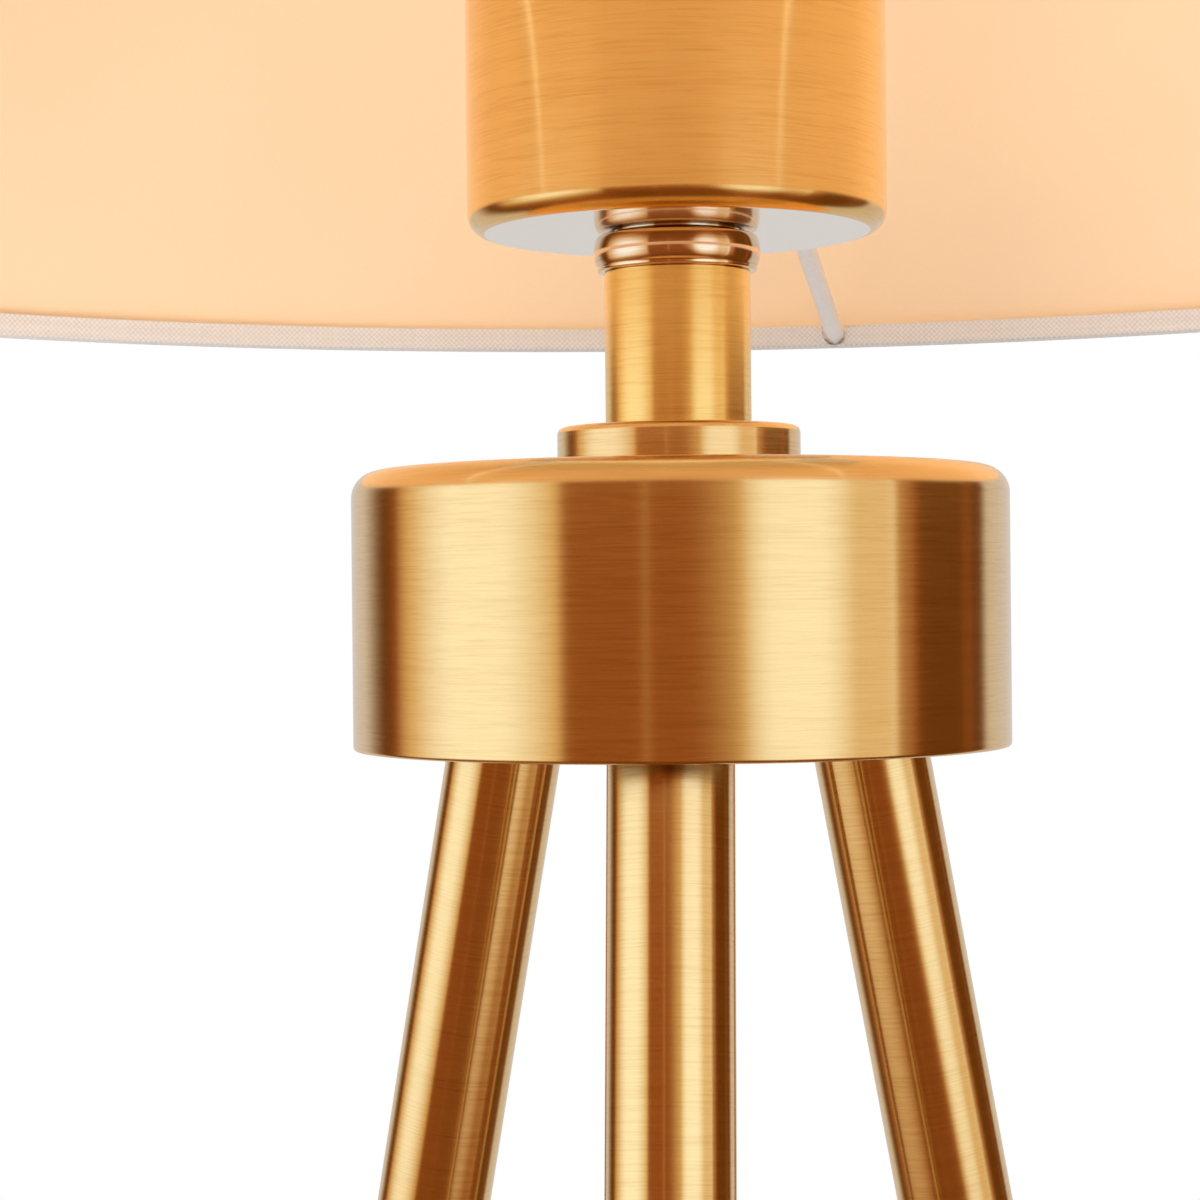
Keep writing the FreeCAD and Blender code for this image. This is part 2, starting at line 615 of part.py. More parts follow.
def bulb_insulator():
    """Glass insulator that closes the cap round the contact."""
    low = CONTACT_LEVEL + CONTACT_HEIGHT
    joint = CONTACT_LEVEL + CAP_BOTTOM_HEIGHT
    plug_radius = CAP_DIAMETER / 2 - CAP_WALL - PLUG_FIT
    return turned(outline([
        (0, low),
        (CONTACT_DIAMETER / 2, low),
        (INSULATOR_TOP_DIAMETER / 2, joint),
        (plug_radius, joint),
        (plug_radius, joint + CONTACT_HEIGHT),
        (0, joint + CONTACT_HEIGHT),
    ]))


def bulb_contact():
    """Soldered contact under the insulator."""
    top = CONTACT_LEVEL + CONTACT_HEIGHT
    radius = CONTACT_DIAMETER / 2
    return bevelled(disc(radius, CONTACT_LEVEL, top), CONTACT_HEIGHT / 2, radius, CONTACT_LEVEL)


# ---------------------------------------------------------------- shade

def ring_nut():
    """Flanged ring that screws down on the lampholder and holds the shade, with finger grips."""
    flange_top = RING_NUT_BOTTOM + RING_FLANGE_THICKNESS
    top = RING_NUT_BOTTOM + RING_NUT_HEIGHT
    flange_radius = RING_FLANGE_DIAMETER / 2
    sleeve_radius = RING_NUT_DIAMETER / 2
    flange = bevelled(disc(flange_radius, RING_NUT_BOTTOM, flange_top), RING_BEVEL, flange_radius, flange_top)
    sleeve = bevelled(disc(sleeve_radius, flange_top, top), RING_BEVEL, sleeve_radius, top)
    grip_place = V(sleeve_radius + RING_GRIP_DIAMETER / 4, 0, flange_top)
    grip = Part.makeCylinder(RING_GRIP_DIAMETER / 2, top - flange_top, grip_place)
    for cutter in around(grip, RING_GRIPS):
        sleeve = sleeve.cut(cutter)
    return flange.fuse(sleeve).cut(disc(SKIRT_RADIUS + RING_NUT_FIT, RING_NUT_BOTTOM, top))


def carrier_plate():
    """Flat steel ring in the middle of the shade, clamped between cup and ring nut."""
    return band(CARRIER_BORE_RADIUS, CARRIER_RADIUS, CARRIER_BOTTOM, CARRIER_TOP)


def spoke_path():
    """Centre line of one spoke along +X: flat under the plate, a bend, then down to the ring."""
    level = CARRIER_BOTTOM - SPOKE_RADIUS
    corner = V(CARRIER_RADIUS, 0, level)
    start = V(CUP_RADIUS + SPOKE_CUP_CLEARANCE, 0, level)
    end = V(WIRE_RING_RADIUS, 0, LOWER_RING_LEVEL)
    down = (end - corner).normalize()
    turn = down.getAngle(V(1, 0, 0))
    tangent_length = SPOKE_BEND_RADIUS * math.tan(turn / 2)
    bend_start = corner - V(tangent_length, 0, 0)
    bend_end = corner + down * tangent_length
    middle_drop = SPOKE_BEND_RADIUS * (1 - math.cos(turn / 2))
    bend_middle = bend_start + V(SPOKE_BEND_RADIUS * math.sin(turn / 2), 0, -middle_drop)
    return [
        Part.makeLine(start, bend_start),
        Part.Arc(bend_start, bend_middle, bend_end).toShape(),
        Part.makeLine(bend_end, end),
    ]


def spoke_tube(radius):
    """Round bar of a given radius along one spoke's centre line."""
    path = Part.Wire(spoke_path())
    start = path.Vertexes[0].Point
    section = Part.Wire(Part.makeCircle(radius, start, V(1, 0, 0)))
    return path.makePipeShell([section], True, False)


def wire_ring(level):
    """Wire hoop inside a hem, which keeps one edge of the shade circular."""
    corner = RING_WIRE_RADIUS / math.cos(math.pi / RING_WIRE_SIDES)
    points = []
    for side in range(RING_WIRE_SIDES):
        angle = (side + 0.5) * 2 * math.pi / RING_WIRE_SIDES
        points.append((WIRE_RING_RADIUS + corner * math.cos(angle), level + corner * math.sin(angle)))
    return turned(outline(points))


def carrier_spokes():
    """Three wires from the plate down to the lower hoop, notched where they meet it."""
    hoop = wire_ring(LOWER_RING_LEVEL)
    spokes = around(spoke_tube(SPOKE_RADIUS), SPOKES, SPOKE_AZIMUTH)
    return Part.makeCompound([spoke.cut(hoop).Solids[0] for spoke in spokes])


def shade_lining():
    """Stiff translucent sheet inside the fabric."""
    low = SHADE_BOTTOM + LINING_MARGIN
    high = SHADE_TOP - LINING_MARGIN
    return band(LINING_BORE_RADIUS, FABRIC_BORE_RADIUS, low, high)


def shade_fabric():
    """Woven cloth laminated to the outside of the lining."""
    return band(FABRIC_BORE_RADIUS, SHADE_RADIUS, SHADE_BOTTOM, SHADE_TOP)


def hem(edge, inward):
    """Cloth folded in over a hoop: a floor at the shade's edge and a wall inside the hoop."""
    floor = sorted((edge, edge + inward * HEM_THICKNESS))
    wall = sorted((edge, edge + inward * HEM_HEIGHT))
    turned_in = band(HEM_BORE_RADIUS, FABRIC_BORE_RADIUS, *floor)
    return turned_in.fuse(band(HEM_BORE_RADIUS, HEM_BORE_RADIUS + HEM_THICKNESS, *wall))


def lower_hem():
    """Lower hem, notched where the spokes come through it."""
    folded = hem(SHADE_BOTTOM, 1)
    for cutter in around(spoke_tube(SPOKE_RADIUS + HEM_NOTCH_FIT), SPOKES, SPOKE_AZIMUTH):
        folded = folded.cut(cutter)
    return folded


# ---------------------------------------------------------------- assembly

def lamp():
    """Every piece of the lamp by name."""
    pieces = {
        "hub_shell": hub_shell(),
        "hub_core": hub_core(),
        "leg_inserts": leg_inserts(),
        "leg_studs": leg_studs(),
        "nipple": nipple(),
        "lower_nut": nipple_nut(LOWER_NUT_BOTTOM),
        "lower_washer": nipple_washer(LOWER_WASHER_BOTTOM),
        "cord_bushing": cord_bushing(),
        "collar": collar(),
        "stem_tube": stem_tube(),
        "bead_ring": bead_ring(),
        "neck_ring": neck_ring(),
        "socket_cup": socket_cup(),
        "upper_washer": nipple_washer(CUP_FLOOR),
        "upper_nut": nipple_nut(UPPER_NUT_BOTTOM),
        "holder_base": holder_base(),
        "ceramic_block": ceramic_block(),
        "terminal_screws": terminal_screws(),
        "centre_contact": centre_contact(),
        "screw_shell": screw_shell(),
        "holder_skirt": holder_skirt(),
        "bulb_globe": bulb_globe(),
        "bulb_cap": bulb_cap(),
        "bulb_insulator": bulb_insulator(),
        "bulb_contact": bulb_contact(),
        "ring_nut": ring_nut(),
        "carrier_plate": carrier_plate(),
        "carrier_spokes": carrier_spokes(),
        "lower_hoop": wire_ring(LOWER_RING_LEVEL),
        "upper_hoop": wire_ring(UPPER_RING_LEVEL),
        "shade_lining": shade_lining(),
        "shade_fabric": shade_fabric(),
        "lower_hem": lower_hem(),
        "upper_hem": hem(SHADE_TOP, -1),
    }
    for side, azimuth in LEG_AZIMUTHS.items():
        pieces["leg_" + side] = leg_tube(azimuth)
        pieces["foot_" + side] = foot(azimuth)
    return pieces


os.makedirs("parts", exist_ok=True)
for name, shape in lamp().items():
    shape.exportStep("parts/" + name + ".step")
    size = shape.BoundBox
    print(f"{name:16} solids {len(shape.Solids)}  z {size.ZMin:7.2f} to {size.ZMax:7.2f}"
          f"  volume {shape.Volume:10.1f}  valid {shape.isValid()}")
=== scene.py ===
# Looks of a tripod table lamp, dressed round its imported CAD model: brushed brass legs, hub,
# stem and socket cup, a wire carrier, and a drum shade of woven cloth on a plastic lining.
# Metres, in the CAD frame: +Z is up, the lamp's axis is the Z axis, the front leg is at -Y.

import logging
import math
from dataclasses import dataclass, field
from enum import Enum
from typing import Sequence

import bmesh
import bpy
from mathutils import Matrix, Vector


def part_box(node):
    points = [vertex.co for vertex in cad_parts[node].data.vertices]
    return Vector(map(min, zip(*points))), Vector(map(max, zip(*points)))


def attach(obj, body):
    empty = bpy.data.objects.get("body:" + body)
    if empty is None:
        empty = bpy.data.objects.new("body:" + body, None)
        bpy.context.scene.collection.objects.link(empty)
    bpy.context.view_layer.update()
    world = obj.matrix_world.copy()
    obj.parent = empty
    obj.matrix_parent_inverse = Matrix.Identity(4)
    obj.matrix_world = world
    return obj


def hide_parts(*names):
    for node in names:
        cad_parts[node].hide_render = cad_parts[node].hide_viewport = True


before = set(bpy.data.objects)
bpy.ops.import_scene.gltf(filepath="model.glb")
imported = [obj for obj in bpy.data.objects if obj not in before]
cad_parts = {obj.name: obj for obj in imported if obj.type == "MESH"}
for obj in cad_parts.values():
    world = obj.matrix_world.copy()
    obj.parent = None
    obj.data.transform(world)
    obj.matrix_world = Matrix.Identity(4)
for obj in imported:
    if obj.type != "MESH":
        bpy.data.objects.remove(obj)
log = logging.getLogger("lamp")

Point = tuple[float, float]
Colour = tuple[float, float, float]
Piece = bpy.types.Object
Material = bpy.types.Material
Node = bpy.types.Node
Socket = bpy.types.NodeSocket
NEAR = 2e-5
FINE_SIDES = 256
SMALL_SIDES = 128


# Sizes taken from the frame

@dataclass(frozen=True)
class Reach:
    """How far a CAD node reaches from the lamp's axis, and its two levels.

    Attributes:
        radius: Largest distance from the axis.
        low: Lowest level.
        high: Highest level.
    """

    radius: float
    low: float
    high: float

    @classmethod
    def of(cls, node: str) -> "Reach":
        """Measures a CAD node.

        Args:
            node: Name of the node.

        Returns:
            Its reach at rest.
        """
        low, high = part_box(node)
        return cls(max(high[0], -low[0]), low[2], high[2])


# Shaping by operators

class Ends(Enum):
    """How the two ends of a turned outline are closed."""

    LOOP = "the outline closes on its own start"
    CAPPED = "each end is filled with a flat face"


@dataclass(frozen=True)
class Round:
    """An edge ring to round over.

    Attributes:
        radius: Radius of the ring.
        level: Level of the ring.
        size: Width that the bevel takes on both sides.
        steps: Faces across the bevel.
    """

    radius: float
    level: float
    size: float
    steps: int = 4


def deselect_all() -> None:
    """Leaves object mode's selection empty, with nothing active."""
    bpy.ops.object.select_all(action="DESELECT")
    bpy.context.view_layer.objects.active = None


def activate(piece: Piece) -> None:
    """Makes one object the only one selected, and the active one."""
    deselect_all()
    piece.select_set(True)
    bpy.context.view_layer.objects.active = piece


def settle(piece: Piece, placing: Matrix | None = None) -> None:
    """Puts an object's place, turn and size into its mesh.

    Args:
        piece: The object.
        placing: Where it goes from its own frame, if it isn't there yet.
    """
    activate(piece)
    if placing is not None:
        piece.matrix_world = placing @ piece.matrix_world
    bpy.ops.object.transform_apply(location=True, rotation=True, scale=True)


def smooth(piece: Piece, angle: float = 32.0, even: bool = True) -> None:
    """Shades an object smooth, keeps its corners and lets the large faces lead.

    Args:
        piece: The object.
        angle: Corners sharper than this many degrees stay sharp.
        even: Whether normals are weighted by the faces' areas.
    """
    activate(piece)
    bpy.ops.object.shade_smooth_by_angle(angle=math.radians(angle))
    if even:
        bpy.ops.object.modifier_add(type="WEIGHTED_NORMAL")
        piece.modifiers[-1].keep_sharp = True
        bpy.ops.object.modifier_apply(modifier=piece.modifiers[-1].name)


def select_ring(piece: Piece, radius: float, level: float) -> int:
    """Selects the edge ring of one radius and level, in edit mode.

    Args:
        piece: The object being edited.
        radius: Radius of the ring.
        level: Level of the ring.

    Returns:
        How many edges it has.
    """
    bpy.ops.mesh.select_mode(type="EDGE")
    bpy.ops.mesh.select_all(action="DESELECT")
    mesh = bmesh.from_edit_mesh(piece.data)
    near = {
        corner.index for corner in mesh.verts
        if abs(math.hypot(corner.co.x, corner.co.y) - radius) < NEAR and abs(corner.co.z - level) < NEAR
    }
    count = 0
    for edge in mesh.edges:
        if edge.verts[0].index in near and edge.verts[1].index in near:
            edge.select_set(True)
            count += 1
    bmesh.update_edit_mesh(piece.data)
    return count


@dataclass(frozen=True)
class Turning:
    """A piece turned about the Z axis: a ring of points is pushed and resized along an outline.

    Attributes:
        name: Name of the piece.
        outline: Its (radius, level) corners in order.
        rounds: Rings that are rounded over afterwards.
        ends: How the outline's ends are closed.
        sides: Points in the ring.
        angle: Corners sharper than this many degrees stay sharp.
    """

    name: str
    outline: Sequence[Point]
    rounds: Sequence[Round] = ()
    ends: Ends = Ends.LOOP
    sides: int = FINE_SIDES
    angle: float = 32.0

    def build(self) -> Piece:
        """Models the piece.

        Returns:
            The finished object, at the origin.
        """
        deselect_all()
        start_radius, start_level = self.outline[0]
        bpy.ops.mesh.primitive_circle_add(
            vertices=self.sides, radius=start_radius, fill_type="NOTHING",
            location=(0, 0, start_level))
        piece = bpy.context.object
        piece.name = self.name
        piece.data.name = self.name
        settle(piece)
        bpy.ops.object.mode_set(mode="EDIT")
        bpy.ops.mesh.select_mode(type="EDGE")
        bpy.ops.mesh.select_all(action="SELECT")
        if self.ends is Ends.CAPPED:
            bpy.ops.mesh.edge_face_add()
            select_ring(piece, start_radius, start_level)
        stops = list(self.outline[1:])
        if self.ends is Ends.LOOP:
            stops.append(self.outline[0])
        radius, level = start_radius, start_level
        for next_radius, next_level in stops:
            bpy.ops.mesh.extrude_edges_move(
                TRANSFORM_OT_translate={"value": (0, 0, next_level - level)})
            share = next_radius / radius
            bpy.ops.transform.resize(value=(share, share, 1), center_override=(0, 0, next_level))
            radius, level = next_radius, next_level
        if self.ends is Ends.CAPPED:
            bpy.ops.mesh.edge_face_add()
        bpy.ops.mesh.select_all(action="SELECT")
        bpy.ops.mesh.remove_doubles(threshold=1e-6)
        bpy.ops.mesh.select_all(action="SELECT")
        bpy.ops.mesh.normals_make_consistent(inside=False)
        for each in self.rounds:
            if select_ring(piece, each.radius, each.level):
                bpy.ops.mesh.bevel(
                    offset=each.size, offset_type="OFFSET", segments=each.steps,
                    profile=0.5, affect="EDGES")
        bpy.ops.mesh.select_all(action="DESELECT")
        bpy.ops.object.mode_set(mode="OBJECT")
        smooth(piece, self.angle)
        return piece


def wall(radius: float, bore: float, low: float, high: float) -> list[Point]:
    """Corners of a plain tube's wall, from its two radii and two levels."""
    return [(radius, low), (radius, high), (bore, high), (bore, low)]


def sweep(radius: float, centre: Point, start: float, end: float, steps: int) -> list[Point]:
    """Points along an arc of a turned outline.

    Args:
        radius: Radius of the arc.
        centre: Its centre, as (radius, level).
        start: Angle of its first point in degrees, 0 outwards and 90 up.
        end: Angle of its last point.
        steps: Number of runs between the points.

    Returns:
        The points, both ends included.
    """
    points = []
    for step in range(steps + 1):
        angle = math.radians(start + (end - start) * step / steps)
        points.append((centre[0] + radius * math.cos(angle), centre[1] + radius * math.sin(angle)))
    return points


# Wiring of materials

class Wiring:
    """Adds and joins the nodes of one material or world.

    Attributes:
        tree: The node tree.
    """

    def __init__(self, tree: bpy.types.NodeTree) -> None:
        """Empties the tree and keeps it."""
        self.tree = tree
        tree.nodes.clear()

    def add(self, kind: str, inputs: dict | None = None, **settings: object) -> Node:
        """Adds one node.

        Args:
            kind: Its type.
            inputs: Values or sockets for its input sockets, by name or number.
            settings: Its own settings.

        Returns:
            The node.
        """
        node = self.tree.nodes.new(kind)
        for key, value in settings.items():
            setattr(node, key, value)
        self.feed(node, inputs or {})
        return node

    def feed(self, node: Node, inputs: dict) -> None:
        """Gives a node's input sockets, by name or number, their values or sockets."""
        for key, value in inputs.items():
            self.give(node.inputs[key], value)

    def give(self, socket: Socket, value: object) -> None:
        """Sets a socket, or joins it when the value is a socket itself."""
        if isinstance(value, Socket):
            self.tree.links.new(value, socket)
        else:
            socket.default_value = value

    def maths(self, operation: str, first: object, second: object = 0.0) -> Socket:
        """Adds a Math node and returns its result."""
        node = self.add("ShaderNodeMath", {0: first, 1: second}, operation=operation)
        return node.outputs[0]

    def times(self, first: object, second: object) -> Socket:
        """Adds the product of two values and returns it."""
        return self.maths("MULTIPLY", first, second)

    def blend(self, first: object, share: object, second: object, rest: object) -> Socket:
        """Adds the weighted sum of two values and returns it."""
        return self.maths("ADD", self.times(first, share), self.times(second, rest))

    def less(self, value: object) -> Socket:
        """Takes a value from 1 and returns the rest."""
        return self.maths("SUBTRACT", 1.0, value)

    def spread(
            self, value: object, low: float, high: float, to: Point, kind: str = "LINEAR") -> Socket:
        """Adds a spread of a value from low and high to two results and returns it."""
        return self.add("ShaderNodeMapRange", {
            "Value": value, "From Min": low, "From Max": high, "To Min": to[0], "To Max": to[1],
        }, interpolation_type=kind).outputs["Result"]

    def step_between(self, value: object, low: float, high: float) -> Socket:
        """Adds a smooth step from 0 at low to 1 at high and returns it."""
        return self.spread(value, low, high, (0.0, 1.0), "SMOOTHSTEP")

    def noise(self, vector: object, scale: float, detail: float, rough: float = 0.5) -> Socket:
        """Adds a Noise texture and returns its value."""
        node = self.add(
            "ShaderNodeTexNoise",
            {"Vector": vector, "Scale": scale, "Detail": detail, "Roughness": rough})
        return node.outputs["Fac"]

    def ramp(self, value: object, stops: Sequence[tuple[float, Colour]]) -> Socket:
        """Adds a colour ramp.

        Args:
            value: What it reads.
            stops: Its (position, linear colour) stops.

        Returns:
            The colour.
        """
        node = self.add("ShaderNodeValToRGB", {"Fac": value})
        line = node.color_ramp
        while len(line.elements) < len(stops):
            line.elements.new(1.0)
        for element, (position, colour) in zip(line.elements, stops):
            element.position = position
            element.color = (*colour, 1.0)
        return node.outputs["Color"]

    def split(self, vector: object) -> Sequence[Socket]:
        """Adds a node that parts a vector and returns its X, Y and Z."""
        return self.add("ShaderNodeSeparateXYZ", {0: vector}).outputs[:]

    def join(self, x: object, y: object, z: object) -> Socket:
        """Adds a node that makes a vector of X, Y and Z and returns it."""
        return self.add("ShaderNodeCombineXYZ", {0: x, 1: y, 2: z}).outputs[0]

    def local(self, placing: Matrix | None = None) -> Socket:
        """Adds Object coordinates, turned into a piece's own frame.

        Args:
            placing: The frame, if it isn't the lamp's own.

        Returns:
            The coordinates.
        """
        place = self.add("ShaderNodeTexCoord").outputs["Object"]
        if placing is None:
            return place
        node = self.add("ShaderNodeMapping", {"Vector": place}, vector_type="TEXTURE")
        node.inputs["Location"].default_value = placing.to_translation()
        node.inputs["Rotation"].default_value = placing.to_euler("XYZ")
        return node.outputs["Vector"]


@dataclass(frozen=True)
class Finish:
    """A surface finish: a material with one Principled shader.

    Attributes:
        name: Name of the material.
    """

    name: str

    def material(self) -> Material:
        """Builds the material.

        Returns:
            The material, ready to put on pieces.
        """
        made = bpy.data.materials.new(self.name)
        made.use_nodes = True
        wiring = Wiring(made.node_tree)
        shader = wiring.add("ShaderNodeBsdfPrincipled")
        wiring.add("ShaderNodeOutputMaterial", {"Surface": shader.outputs[0]})
        self.wire(wiring, shader)
        return made

    def wire(self, wiring: Wiring, shader: Node) -> None:
        """Joins the finish's own nodes to the shader.

        Args:
            wiring: The material's wiring.
            shader: Its Principled shader.
        """
        raise NotImplementedError


@dataclass(frozen=True)
class BrushedBrass(Finish):
    """Lacquered brass, brushed round its axis on a lathe.

    Attributes:
        roughness: Roughness of the metal under the lacquer.
        brushing: How far the brushing spreads a highlight across its lines.
        lines: Brush lines to the metre along the axis.
        breaks: Breaks in them to the metre, across the axis.
        relief: Height of the brush lines.
        tint: Brass colour, face on.
        lacquer: Weight of the clear lacquer.
        placing: The piece's own frame, if its axis isn't the lamp's.
    """

    roughness: float = 0.19
    brushing: float = 0.85
    lines: float = 5200.0
    breaks: float = 150.0
    relief: float = 1.3e-6
    tint: Colour = (0.87, 0.59, 0.245)
    lacquer: float = 0.6
    placing: Matrix | None = None

    def wire(self, wiring: Wiring, shader: Node) -> None:
        """Joins brush lines, tone and lacquer to the shader."""
        x, y, z = wiring.split(wiring.local(self.placing))
        out = wiring.maths("SQRT", wiring.maths(
            "ADD", wiring.maths("POWER", x, 2.0), wiring.maths("POWER", y, 2.0)))
        along = wiring.maths("SUBTRACT", z, wiring.times(out, 1.3))
        lie = wiring.join(
            wiring.times(x, self.breaks), wiring.times(y, self.breaks), wiring.times(along, self.lines))
        fine = wiring.noise(lie, 1.0, 3.0, 0.62)
        broad = wiring.noise(lie, 0.12, 2.0)
        tone = wiring.blend(fine, 0.75, broad, 0.25)
        dull = tuple(part * share for part, share in zip(self.tint, (0.88, 0.83, 0.75)))
        pale = (min(self.tint[0] * 1.05, 1.0), self.tint[1] * 1.07, self.tint[2] * 1.12)
        bump = wiring.add("ShaderNodeBump", {"Height": fine, "Strength": 0.35, "Distance": self.relief})
        if self.placing is None:
            shader.inputs["Anisotropic Rotation"].default_value = 0.25
            tangent = wiring.add("ShaderNodeTangent", direction_type="RADIAL", axis="Z").outputs[0]
        else:
            axis = self.placing.to_3x3() @ Vector((0, 0, 1))
            tangent = wiring.join(axis.x, axis.y, axis.z)
        wiring.feed(shader, {
            "Base Color": wiring.ramp(tone, [(0.3, dull), (0.52, self.tint), (0.75, pale)]),
            "Roughness": wiring.spread(tone, 0.3, 0.7, (self.roughness * 0.9, self.roughness * 1.1)),
            "Normal": bump.outputs[0],
            "Tangent": tangent,
            "Metallic": 1.0,
            "Anisotropic": self.brushing,
            "Coat Weight": self.lacquer,
            "Coat Roughness": 0.06,
            "Coat IOR": 1.45,
        })


class Grain(Enum):
    """How the tone of a plain surface varies over it."""

    EVEN = (1.0, 1.0, 1.0)
    UPRIGHT = (1.0, 1.0, 0.06)
    RINGED = (0.05, 0.05, 1.0)


@dataclass(frozen=True)
class PlainFinish(Finish):
    """A plain solid surface: cast, moulded, sprayed, drawn or plated.

    Attributes:
        dark: Colour of its darker spots.
        light: Colour of its lighter spots.
        scale: Spots to the metre.
        roughness: Lowest and highest roughness.
        grain: How the spots are drawn out.
        relief: Height of the surface's unevenness.
        metallic: 1 for bare metal.
        coat: Weight of a clear gloss over it.
        glow: Strength of its own light.
    """

    dark: Colour
    light: Colour
    scale: float = 900.0
    roughness: Point = (0.4, 0.55)
    grain: Grain = Grain.EVEN
    relief: float = 1e-5
    metallic: float = 0.0
    coat: float = 0.0
    glow: float = 0.0

    def wire(self, wiring: Wiring, shader: Node) -> None:
        """Joins the spots to colour, roughness and bump."""
        stretched = wiring.add(
            "ShaderNodeMapping", {"Vector": wiring.local(), "Scale": self.grain.value}, vector_type="POINT")
        spots = wiring.noise(stretched.outputs[0], self.scale, 4.0, 0.6)
        wear = wiring.noise(stretched.outputs[0], self.scale / 22, 3.0)
        tone = wiring.blend(spots, 0.6, wear, 0.4)
        colour = wiring.ramp(tone, [(0.32, self.dark), (0.68, self.light)])
        bump = wiring.add("ShaderNodeBump", {"Height": spots, "Strength": 0.5, "Distance": self.relief})
        wiring.feed(shader, {
            "Base Color": colour,
            "Roughness": wiring.spread(tone, 0.3, 0.7, self.roughness),
            "Normal": bump.outputs[0],
            "Metallic": self.metallic,
            "Coat Weight": self.coat,
        })
        if self.glow:
            wiring.feed(shader, {"Emission Color": colour, "Emission Strength": self.glow})


class Weave(Enum):
    """Threads of a cloth to the metre, round the shade and along it."""

    SHADE = (1450, 1500)
    HEM = (2300, 2400)


@dataclass(frozen=True)
class WovenCloth(Finish):
    """Plain-woven cloth stretched round a drum, with thick and thin threads.

    Attributes:
        shadow: Colour between the threads.
        thread: Colour of a thread.
        weave: Thread counts.
        radius: Radius of the drum, for an even weave.
        glow: Strength of a painted glow that stands in for the bulb's light coming through.
        warmth: Colour of that painted glow.
    """

    shadow: Colour
    thread: Colour
    weave: Weave = Weave.SHADE
    radius: float = 0.165
    glow: float = 0.0
    warmth: Colour = (1.0, 0.8, 0.55)

    def wire(self, wiring: Wiring, shader: Node) -> None:
        """Joins the weave to colour, bump, sheen and a painted glow."""
        x, y, z = wiring.split(wiring.local())
        turn = wiring.maths("ARCTAN2", y, x)
        round_count, tall_count = self.weave.value
        whole = round(math.pi * round_count * self.radius)
        weft_phase = wiring.times(turn, float(whole))
        warp_phase = wiring.times(z, math.pi * tall_count)
        slub = wiring.noise(
            wiring.join(wiring.times(x, 60.0), wiring.times(y, 60.0), wiring.times(z, 1600.0)), 1.0, 2.0)
        slub_up = wiring.noise(wiring.join(wiring.times(turn, 330.0), 0.0, wiring.times(z, 70.0)), 1.0, 2.0)
        over = wiring.times(wiring.maths("SINE", weft_phase), wiring.maths("SINE", warp_phase))
        height = wiring.blend(over, 0.35, wiring.maths("ADD", slub, slub_up), 0.5)
        colour = wiring.ramp(height, [(0.28, self.shadow), (0.72, self.thread)])
        bump = wiring.add("ShaderNodeBump", {"Height": height, "Strength": 0.55, "Distance": 8e-5})
        wiring.feed(shader, {
            "Base Color": colour,
            "Normal": bump.outputs[0],
            "Roughness": 0.85,
            "Sheen Weight": 0.25,
            "Sheen Roughness": 0.4,
        })
        # Painted glow: the cloth emits warm light, standing in for light from the bulb shining through it.
        if self.glow:
            mixed = wiring.add(
                "ShaderNodeMix", {0: 1.0, 6: colour, 7: (*self.warmth, 1.0)},
                data_type="RGBA", blend_type="MULTIPLY")
            wiring.feed(shader, {"Emission Color": mixed.outputs[2], "Emission Strength": self.glow})


@dataclass(frozen=True)
class ShadeLining(Finish):
    """Translucent plastic sheet that lines the shade, lit by the bulb; a painted glow stands in for the
    light that comes through it from outside.

    Attributes:
        colour: Colour of the sheet, its pale cream warmed to peach as painted light coming through it.
        glow: Colour of its painted glow, which stands in for light that comes through it.
        strength: Strength of that painted glow.
    """

    colour: Colour = (0.90, 0.68, 0.455)
    glow: Colour = (1.0, 0.64, 0.32)
    strength: float = 0.12

    def wire(self, wiring: Wiring, shader: Node) -> None:
        """Joins a soft cloudiness and the backing cloth's faint weave to the sheet's colour and its painted
        glow.
        """
        place = wiring.local()
        cloud = wiring.noise(place, 14.0, 3.0)
        grain = wiring.noise(place, 2600.0, 2.0)
        tone = wiring.blend(cloud, 0.85, grain, 0.15)
        faint = tuple(part * 0.94 for part in self.colour)
        soft = tuple(part * 0.93 for part in self.glow)
        wiring.feed(shader, {
            # Painted light: the peach colour and the sheet's own emission stand in for warm light coming
            # through it.
            "Base Color": wiring.ramp(tone, [(0.3, faint), (0.7, self.colour)]),
            "Emission Color": wiring.ramp(tone, [(0.3, soft), (0.7, self.glow)]),
            "Emission Strength": self.strength,
            "Roughness": 0.5,
            "Coat Weight": 0.08,
        })


